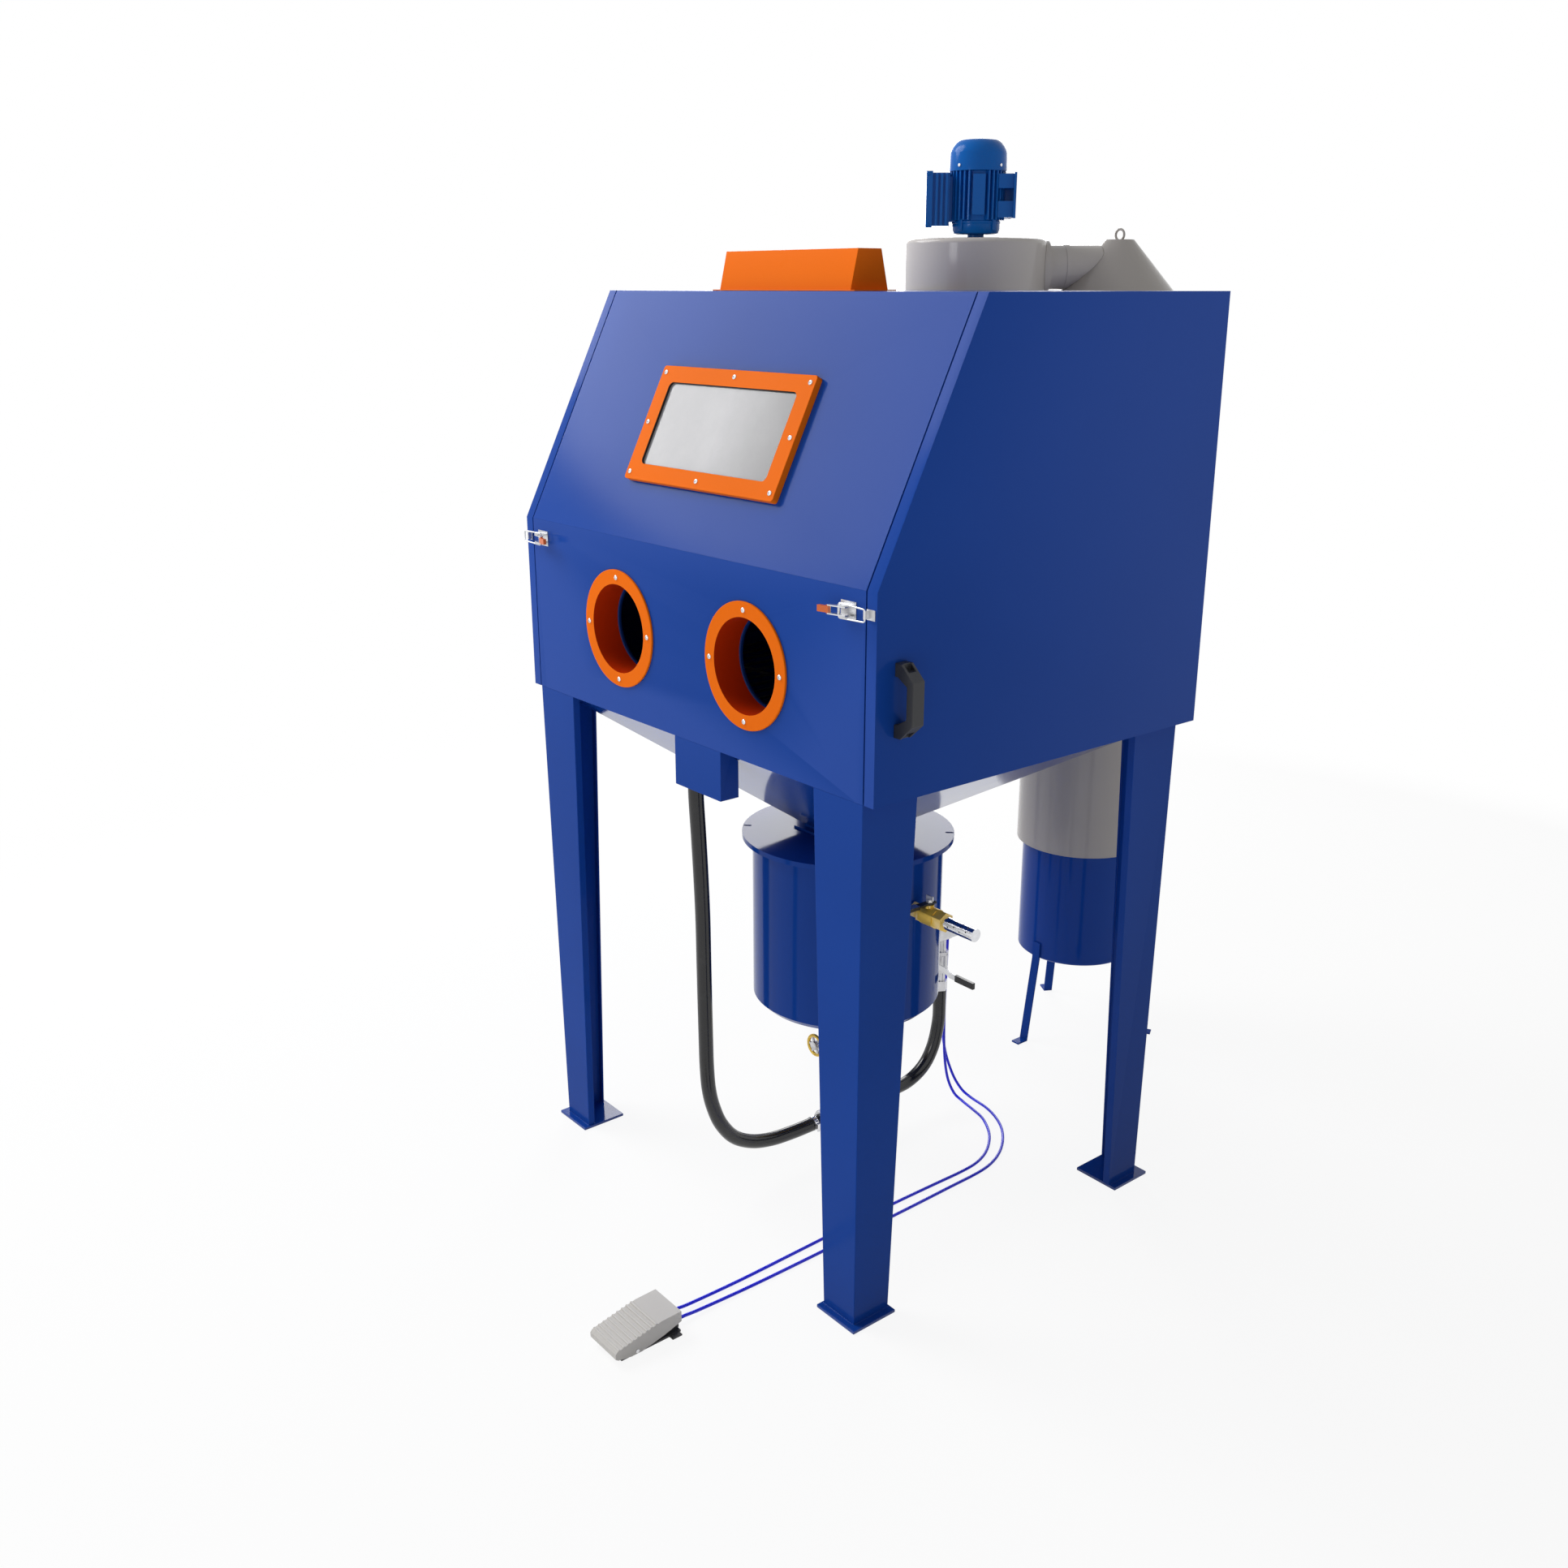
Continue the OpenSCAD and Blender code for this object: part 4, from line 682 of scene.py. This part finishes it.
def template_mesh(name, shape):
    """A small shape at the origin that scatter copies."""
    bmesh.ops.remove_doubles(shape.edit, verts=shape.edit.verts, dist=0.0001)
    bmesh.ops.scale(shape.edit, vec=(MM, MM, MM), verts=shape.edit.verts)
    bmesh.ops.recalc_face_normals(shape.edit, faces=shape.edit.faces)
    mesh = bpy.data.meshes.new(name)
    shape.edit.to_mesh(mesh)
    shape.edit.free()
    return linked(name, mesh)


def dome_screw(name, radius, height, socket=0.45):
    """Button-head screw with a recess."""
    shape = Shape()
    shape.lathe([(0, 0), (radius, 0), (radius, 0.25 * height), (0.92 * radius, 0.6 * height),
                 (0.7 * radius, 0.9 * height), (socket * radius, height),
                 (socket * radius, 0.45 * height), (0, 0.4 * height)], (0, 0, 0), steps=14)
    return template_mesh(name, shape)


WHEEL_Z = 500 * (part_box("media_wheel")[0][2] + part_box("media_wheel")[1][2])


def on_slope(x, along, out=0.0):
    """A point on the sloped front, measured up the slope from the bend."""
    return (x, along * math.sin(SLOPE) - out * math.cos(SLOPE),
            BEND_Z + along * math.cos(SLOPE) + out * math.sin(SLOPE))


def along_slope(y, z):
    """How far up the sloped front a point lies."""
    return y * math.sin(SLOPE) + (z - BEND_Z) * math.cos(SLOPE)


SLOPE_AXIS = (0, -math.cos(SLOPE), math.sin(SLOPE))


# ---------------------------------------------------------------- operators


class Build:
    """Shared by the building steps"""

    bl_options = {"REGISTER", "UNDO"}

    def execute(self, context):
        self.make(settings())
        return {"FINISHED"}


class BLAST_OT_stage(Build, bpy.types.Operator):
    """Camera at the photograph's viewpoint, soft studio lamps, white surroundings and floor"""

    bl_idname = "blast.stage"
    bl_label = "Stage"

    def make(self, s):
        scene = bpy.context.scene
        scene.view_settings.view_transform = "Standard"
        lens = bpy.data.cameras.new("camera")
        lens.lens = s.stage.lens
        lens.sensor_width = 36
        lens.clip_end = 100
        eye = linked("camera", lens)
        eye.location = at(2106.07, -1484.47, 1713.6)
        eye.rotation_euler = (math.radians(71.915), 0, math.radians(50.804))
        scene.camera = eye
        self.lamp("key", at(-2950, -1300, 4000), at(0, 200, 1450), 3.0, s.stage.key)
        self.lamp("front", at(600, -4200, 1700), at(100, 0, 1000), 1.2, s.stage.fill)
        self.lamp("back", at(-2900, 2800, 2100), at(0, 400, 700), 2.4, s.stage.back)
        self.world(s.stage.ambient)
        self.floor()

    def lamp(self, name, place, target, size, power):
        data = bpy.data.lights.new(name, "AREA")
        data.shape = "DISK"
        data.size = size
        data.energy = power
        made = linked(name, data)
        made.location = place
        made.rotation_euler = (target - place).to_track_quat("-Z", "Y").to_euler()

    def world(self, strength):
        world = bpy.data.worlds.new("studio")
        bpy.context.scene.world = world
        world.use_nodes = True
        tree = world.node_tree
        tree.nodes.clear()
        ray = tree.nodes.new("ShaderNodeLightPath")
        seen, also = (tree.nodes.new("ShaderNodeMath") for _ in range(2))
        seen.operation = also.operation = "MAXIMUM"
        even, white = (tree.nodes.new("ShaderNodeBackground") for _ in range(2))
        for surface, level in ((even, strength), (white, 1.0)):
            surface.inputs["Color"].default_value = (1, 1, 1, 1)
            surface.inputs["Strength"].default_value = level
        mix = tree.nodes.new("ShaderNodeMixShader")
        end = tree.nodes.new("ShaderNodeOutputWorld")
        join = tree.links.new
        join(ray.outputs["Is Camera Ray"], seen.inputs[0])
        join(ray.outputs["Is Glossy Ray"], seen.inputs[1])
        join(seen.outputs[0], also.inputs[0])
        join(ray.outputs["Is Transmission Ray"], also.inputs[1])
        join(also.outputs[0], mix.inputs[0])
        join(even.outputs[0], mix.inputs[1])
        join(white.outputs[0], mix.inputs[2])
        join(mix.outputs[0], end.inputs["Surface"])

    def floor(self):
        mesh = bpy.data.meshes.new("floor")
        reach, below = 40.0, -0.0005
        mesh.from_pydata([(reach * i, reach * j, below) for i, j in (
            (-1, -1), (1, -1), (1, 1), (-1, 1))], [], [(0, 1, 2, 3)])
        net = Net("pale_floor", Roughness=0.9, IOR=1.3, Base_Color=(0.93, 0.93, 0.93))
        tree = net.tree
        place = net.node("ShaderNodeTexCoord", {}, {}, "Object")
        away = net.node("ShaderNodeVectorMath", {"operation": "LENGTH"}, {0: place}, "Value")
        camera, glossy, through = (
            net.node("ShaderNodeLightPath", {}, {}, "Is " + kind + " Ray")
            for kind in ("Camera", "Glossy", "Transmission"))
        glow = tree.nodes.new("ShaderNodeEmission")
        glow.inputs["Color"].default_value = (1, 1, 1, 1)
        mix = tree.nodes.new("ShaderNodeMixShader")
        seen = camera.larger(glossy).larger(through)
        net.put(mix.inputs[0], away.step(1.4, 3.4).larger(seen * 0.9))
        tree.links.new(net.bsdf.outputs[0], mix.inputs[1])
        tree.links.new(glow.outputs[0], mix.inputs[2])
        tree.links.new(mix.outputs[0], net.end.inputs[0])
        mesh.materials.append(net.mat)
        made = linked("floor", mesh)


class BLAST_OT_hoses(Build, bpy.types.Operator):
    """Blast hose, air hose and the pedal's two pilot tubes"""

    bl_idname = "blast.hoses"
    bl_label = "Hoses and tubes"

    def make(self, s):
        sides = s.edge.hose_sides
        lay_hose("blast_hose", BLAST_ROUTE, 14, "hose", sides)
        lay_hose("air_hose", AIR_ROUTE, 14, "hose", sides)
        lay_hose("pilot_tube_a", TUBE_A, 3, "tube", 16)
        lay_hose("pilot_tube_b", TUBE_B, 3, "tube", 16)


class BLAST_OT_hose_ends(Build, bpy.types.Operator):
    """Band clamps on the hoses, each with its worm screw"""

    bl_idname = "blast.hose_ends"
    bl_label = "Hose clamps"

    def make(self, s):
        bands = Shape()
        axis, side = (0, 1, 0), (1, 0, 0)
        for base in ((0, 306, 75.6), (0, 460, 75.2)):
            bands.lathe([(13.6, 0), (15, 0), (15.2, 1), (15.2, 8), (15, 9), (13.6, 9), (13.6, 0)],
                        base, axis, 40)
            middle = Vector(base) + 4.5 * Vector(axis) + 17.2 * Vector(side)
            along = Vector(axis).cross(Vector(side))
            reach = [abs(a) * 4.2 + abs(b) * 2.6 + abs(c) * 7 for a, b, c in zip(axis, side, along)]
            bands.box(middle - Vector(reach), middle + Vector(reach))
            bands.lathe([(0, 0), (3.6, 0), (3.6, 3.5), (3, 4.2), (0, 4.2)], middle + 7 * along,
                        along, 6)
        bands.piece("hose_clamps", "cabinet", "chrome", edge=0.0003)


class BLAST_OT_cabinet(Build, bpy.types.Operator):
    """Cabinet shell, hopper, legs and hose box"""

    bl_idname = "blast.cabinet"
    bl_label = "Cabinet"

    def make(self, s):
        sheet = s.edge.sheet
        dressed("cabinet_shell", "blue", edge=0.0012)
        dressed("hopper", "blue_round", edge=0.001)
        for leg in ("leg_front_left", "leg_front_right", "leg_rear_left", "leg_rear_right"):
            dressed(leg, "blue", "blue_plate", edge=0.0014, parts=[
                (1, lambda x, y, z: z < 6.3, True)])
        dressed("hose_box", "blue", edge=sheet * 0.5)
        dressed("lamp_housing", "orange", edge=0.001)


class BLAST_OT_doors(Build, bpy.types.Operator):
    """Side doors with seals, handles, hinges and strikes"""

    bl_idname = "blast.doors"
    bl_label = "Doors"

    def make(self, s):
        for side in ("right", "left"):
            dressed("door_" + side, "blue", edge=0.0011, segments=3)
            dressed("door_seal_" + side, "rubber", edge=0.002)
            dressed("door_handle_" + side, "plastic", edge=s.edge.moulded, segments=3)
            dressed("strike_" + side, "zinc", edge=0.0004)
        dressed("door_hinges", "blue", edge=0.0005)


class BLAST_OT_latches(Build, bpy.types.Operator):
    """Toggle latches with dipped grips"""

    bl_idname = "blast.latches"
    bl_label = "Latches"

    def make(self, s):
        fine = s.edge.fine
        for side in ("right", "left"):
            dressed("latch_base_" + side, "zinc", edge=fine * 0.8)
            dressed("latch_lever_" + side, "zinc", "grip", edge=fine, parts=[
                (1, lambda x, y, z: abs(x) < 416.8)])
            self.bail("latch_hook_" + side)

    def bail(self, node):
        """A closed loop of wire from the lever's pin to beyond the strike's lip."""
        low, high = (Vector(corner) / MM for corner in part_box(node))
        way = 1 if high.x > 0 else -1
        tip, pin = (high.x, low.x) if way > 0 else (low.x, high.x)
        barrel = 4.2  # radius about the pin at the near end of the hook's box
        tip -= 2 * way
        pin += barrel * way
        y, z = low.y + MIDDLE_Y / MM + barrel, (low.z + high.z) / 2
        wide, near, bend, wire, sides = 9.4, 11.4, 4, 1.35, 12
        corners = [Vector(spot) for spot in ((pin, -near), (tip, -wide), (tip, wide), (pin, near))]
        route = []
        for k, here in enumerate(corners):
            a, b = (here + bend * (other - here).normalized()
                    for other in (corners[k - 1], corners[(k + 1) % 4]))
            for t in (0.0, 0.25, 0.5, 0.75, 1.0):
                route.append(a * (1 - t) ** 2 + 2 * here * t * (1 - t) + b * t * t)
        ring = [(wire * math.cos(math.tau * j / sides), wire * math.sin(math.tau * j / sides))
                for j in range(sides)]
        edit = bmesh.new()
        rows = []
        for k, spot in enumerate(route):
            ahead = (route[(k + 1) % len(route)] - route[k - 1]).normalized()
            out = Vector((ahead.y, -ahead.x))
            rows.append([edit.verts.new(at(spot.x + a * out.x, y + b, z + spot.y + a * out.y))
                         for a, b in ring])
        for k, first in enumerate(rows):
            second = rows[(k + 1) % len(rows)]
            for j in range(sides):
                i = (j + 1) % sides
                edit.faces.new((first[j], first[i], second[i], second[j]))
        bmesh.ops.recalc_face_normals(edit, faces=edit.faces)
        mesh = bpy.data.meshes.new(node + "_piece")
        edit.to_mesh(mesh)
        edit.free()
        shade(mesh, 60)
        made = add_object(node + "_piece", mesh, "zinc")
        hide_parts(node)
        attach(made, BODY_OF[node])


class BLAST_OT_window(Build, bpy.types.Operator):
    """Window frame, gasket, glass and its lamp above"""

    bl_idname = "blast.window"
    bl_label = "Window and lamp"

    def make(self, s):
        dressed("window_frame", "orange", "rubber", edge=0.0008, segments=3, parts=[
            (1, lambda x, y, z: abs(x) < 177 and abs(along_slope(y, z) - WINDOW_UP) < 77, True)])
        dressed("window_gasket", "rubber")
        dressed("window_glass", "glass")
        dressed("lamp_glass", "lens")
        dressed("lamp_tube", "lamp")


class BLAST_OT_rings(Build, bpy.types.Operator):
    """Arm rings and the screws of the front"""

    bl_idname = "blast.rings"
    bl_label = "Arm rings and screws"

    def make(self, s):
        for side in ("right", "left"):
            dressed("arm_ring_" + side, "orange", "orange_painted_shade", "blue_painted_shade", edge=0.0007, parts=[
                # Faces inside the collar take the darker orange: painted shade.
                (1, lambda x, y, z: y > 0.5 and math.hypot(abs(x) - ARM_X, z - ARM_Z) < 83.5),
                # Faces deepest in take the darker blue: painted shade.
                (2, lambda x, y, z: y > 48)])
        spots = []
        reach = 93.5  # of the ring's screws from its middle, and of the window's up the slope
        for x in (-ARM_X, ARM_X):
            for k in range(4):
                turn = math.radians(90 * k)
                spots.append(((x + reach * math.cos(turn), -4, ARM_Z + reach * math.sin(turn)),
                              (0, -1, 0), 0.3 * k))
        for i in (-1, 0, 1):
            for j in (-1, 0, 1):
                if i or j:
                    spots.append((on_slope(i * 198.5, WINDOW_UP + j * reach, 12), SLOPE_AXIS,
                                  0.4 * i + j))
        made = scatter("panel_screws_piece", spots, dome_screw("panel_screw", 4.6, 2.5), "chrome",
                       "cabinet")
        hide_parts("panel_screws")


class BLAST_OT_inside(Build, bpy.types.Operator):
    """Grate and blast nozzle"""

    bl_idname = "blast.inside"
    bl_label = "Inside"

    def make(self, s):
        dressed("work_grate", "grate")
        dressed("blast_nozzle", "plastic", "brass", edge=0.0006, parts=[
            (1, lambda x, y, z: math.hypot(x - 90, y - 435) > 97)])


class BLAST_OT_fan(Build, bpy.types.Operator):
    """Exhaust fan with its motor"""

    bl_idname = "blast.fan"
    bl_label = "Fan and motor"

    def make(self, s):
        # The fan housing and exhaust pipe take the paler grey: painted light.
        dressed("fan_housing", "grey_painted_light", edge=0.0008)
        dressed("fan_impeller", "white_metal")
        dressed("motor_shaft", "steel", "plastic", parts=[(1, lambda x, y, z: z > 1942)])
        x0, y0 = self.motor_axis()
        self.motor(x0, y0)
        cowl = dressed("motor_cowl", "motor", "zinc", edge=0.0004, parts=[
            (1, lambda x, y, z: math.hypot(x - x0, y - y0) > 59.6)])
        low, high = (corner[2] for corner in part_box("motor_cowl"))
        axis = at(x0, y0, 0)
        shoulder = 0.42  # share of the cowl's height above which it draws in
        for vert in cowl.data.vertices:
            rise = max(0, (vert.co.z - low) / (high - low) - shoulder) / (1 - shoulder)
            draw = 1 - 0.16 * rise ** 1.7
            vert.co.x = axis.x + (vert.co.x - axis.x) * draw
            vert.co.y = axis.y + (vert.co.y - axis.y) * draw
        dressed("exhaust_pipe", "grey_painted_light", edge=0.0006)

    def motor_axis(self):
        """Where the motor's axis stands, in millimetres from the front panel's foot."""
        low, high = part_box("motor_cowl")
        return MOTOR_X, (low[1] + high[1]) / 2 / MM + MIDDLE_Y / MM

    def motor(self, x, y):
        """Finned frame, end shield, terminal box and feet, turned as on the photograph."""
        base, top = (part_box(node)[0][2] / MM for node in ("motor_body", "motor_cowl"))
        fins = top - 94
        shape = Shape()
        shape.lathe([(0, base), (17, base), (17, base + 8), (39, base + 8.5), (46, base + 11),
                     (49, base + 18), (49, fins - 7), (50, fins - 6), (50, fins - 2),
                     (47, fins - 1), (47, top), (0, top)], (0, 0, 0), steps=72)
        for side in (90, 270):
            for k in (-8, -7, -6, -5, -4, -3, -2, 2, 3, 4, 5, 6, 7, 8):
                self.rib(shape, side + 10.5 * k, 45.5, 57.5, 1.9, fins, top)
            self.rib(shape, side, 45, 56.5, 12.5, fins + 9, top - 7)
        for angle in (48, 132, 228, 312):
            self.rib(shape, angle, 44, 52.5, 4.5, fins - 20, fins + 2)
        box, foot = -106, 76
        shape.box((box + 12, -40, fins - 12), (-58, 40, top - 4))
        shape.box((-60, -24, fins - 4), (-44, 24, top - 10))
        shape.box((box, -46, fins - 15), (box + 13, 46, top - 1))
        shape.box((foot - 5, -50, fins + 2), (foot, 50, top - 4))
        shape.box((40, -4, fins + 4), (foot - 4, 4, top - 6))
        for j in (-1, 1):
            inner, outer = sorted((j * 38, j * 46))
            for rib in (19, 29, 39):
                shape.box((box + rib, inner, fins - 11), (box + rib + 5, outer, top - 5))
            for h in (fins - 10, top - 6):
                shape.lathe([(0, 0), (4.5, 0), (4.5, 4), (3.4, 5), (0, 5)], (box + 4, j * 43, h),
                            (0, j, 0), 12)
            for low, high in ((fins + 4, fins + 36), (top - 34, top - 6)):
                shape.box((40, j * 36 - 4, low), (foot - 4, j * 36 + 4, high))
        turn = math.radians(48)  # all of it is modelled square, then turned by this
        bmesh.ops.rotate(shape.edit, verts=shape.edit.verts, cent=(0, 0, 0),
                         matrix=Matrix.Rotation(turn, 3, "Z"))
        bmesh.ops.translate(shape.edit, verts=shape.edit.verts, vec=(x, y, 0))
        made = shape.piece("motor_body_piece", "cabinet", "motor", edge=0.0007)
        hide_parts("motor_body")

    def rib(self, shape, angle, inner, outer, half, low, high):
        """A bar of twice half in width that stands out from the motor's axis at an angle."""
        turn = Matrix.Rotation(math.radians(angle), 4, "Z")
        middle = turn @ Vector(((inner + outer) / 2, 0, (low + high) / 2))
        size = Vector(((outer - inner) / 2, half, (high - low) / 2))
        shape.box(middle - size, middle + size, turn=turn)


class BLAST_OT_collector(Build, bpy.types.Operator):
    """Dust collector: body, drum, legs and filter"""

    bl_idname = "blast.collector"
    bl_label = "Dust collector"

    def make(self, s):
        dressed("collector_body", "grey", edge=0.0008)
        dressed("collector_drum", "blue_round", edge=0.001)
        dressed("collector_legs", "blue", edge=0.0005)
        dressed("filter_cartridge", "paper")


class BLAST_OT_pot(Build, bpy.types.Operator):
    """Blast pot with its valves, handwheel and mixing tee"""

    bl_idname = "blast.pot"
    bl_label = "Blast pot"

    def make(self, s):
        dressed("pot_body", "blue_round", edge=0.0015)
        dressed("pot_lid", "blue_round", edge=0.0012)
        dressed("popup_valve", "brass", edge=0.0006)
        dressed("media_valve", "brass", edge=0.0007)
        dressed("media_wheel", "brass", "white_metal", edge=0.0005, parts=[
            (1, lambda x, y, z: math.hypot(x, z - WHEEL_Z) < 16.6)])
        dressed("mixing_tee", "white_metal", edge=0.0007)


class BLAST_OT_lines(Build, bpy.types.Operator):
    """Exhaust valve, silencer, air riser and their levers"""

    bl_idname = "blast.lines"
    bl_label = "Valves and lines"

    def make(self, s):
        fine = s.edge.fine
        dressed("exhaust_valve", "brass", edge=0.0008)
        dressed("exhaust_lever", "black", "zinc", edge=fine, parts=[
            (1, lambda x, y, z: z > 620.5 or z < 613)])
        low, high = (Vector(corner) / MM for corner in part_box("silencer"))
        middle, radius = (low + high) / 2, (high.z - low.z) / 2
        dressed("silencer", "chrome", "black", edge=fine * 0.4, parts=[
            (1, lambda x, y, z: x < high.x - 2 and math.hypot(
                y - MIDDLE_Y / MM - middle.y, z - middle.z) < radius - 0.4)])
        dressed("air_riser", "white_metal", edge=0.0006)
        dressed("air_lever", "zinc", "black", edge=fine, parts=[(1, lambda x, y, z: x > 81)])


class BLAST_OT_pedal(Build, bpy.types.Operator):
    """Foot pedal"""

    bl_idname = "blast.pedal"
    bl_label = "Foot pedal"

    def make(self, s):
        dressed("pedal_base", "pedal_dark", edge=s.edge.fine)
        dressed("pedal_treadle", "pedal", "zinc", edge=s.edge.moulded * 0.6, segments=3, parts=[
            (1, lambda x, y, z: abs(x - 251) > 39.2)])


STEPS = (
    BLAST_OT_stage, BLAST_OT_hoses, BLAST_OT_hose_ends, BLAST_OT_cabinet, BLAST_OT_doors,
    BLAST_OT_latches, BLAST_OT_window, BLAST_OT_rings, BLAST_OT_inside, BLAST_OT_fan,
    BLAST_OT_collector, BLAST_OT_pot, BLAST_OT_lines, BLAST_OT_pedal)


class BlastCabinetSettings(bpy.types.PropertyGroup):
    """All settings of the blast cabinet"""

    finish: bpy.props.PointerProperty(
        name="Finishes", description="Colours", type=FinishSettings)
    edge: bpy.props.PointerProperty(name="Edges", description="Edge roundings", type=EdgeSettings)
    stage: bpy.props.PointerProperty(name="Stage", description="Studio", type=StageSettings)


class BLAST_PT_panel(bpy.types.Panel):
    """Lists the building steps and their settings"""

    bl_label = "Blast Cabinet"
    bl_idname = "BLAST_PT_panel"
    bl_space_type = "VIEW_3D"
    bl_region_type = "UI"
    bl_category = "Blast Cabinet"

    def draw(self, context):
        layout = self.layout
        for step in STEPS:
            layout.operator(step.bl_idname)
        for group in (settings().finish, settings().edge, settings().stage):
            box = layout.box()
            for name in group.__annotations__:
                box.prop(group, name)


CLASSES = (
    FinishSettings, EdgeSettings, StageSettings, BlastCabinetSettings, *STEPS, BLAST_PT_panel)


def register():
    for cls in CLASSES:
        bpy.utils.register_class(cls)
    bpy.types.Scene.blast_cabinet = bpy.props.PointerProperty(
        name="Blast cabinet", description="Settings", type=BlastCabinetSettings)


def unregister():
    del bpy.types.Scene.blast_cabinet
    for cls in reversed(CLASSES):
        bpy.utils.unregister_class(cls)


def main():
    register()
    make_materials()
    for step in STEPS:
        group, name = step.bl_idname.split(".")
        if getattr(getattr(bpy.ops, group), name)() != {"FINISHED"}:
            raise RuntimeError(step.bl_label + " wasn't built")


if __name__ == "__main__":
    main()
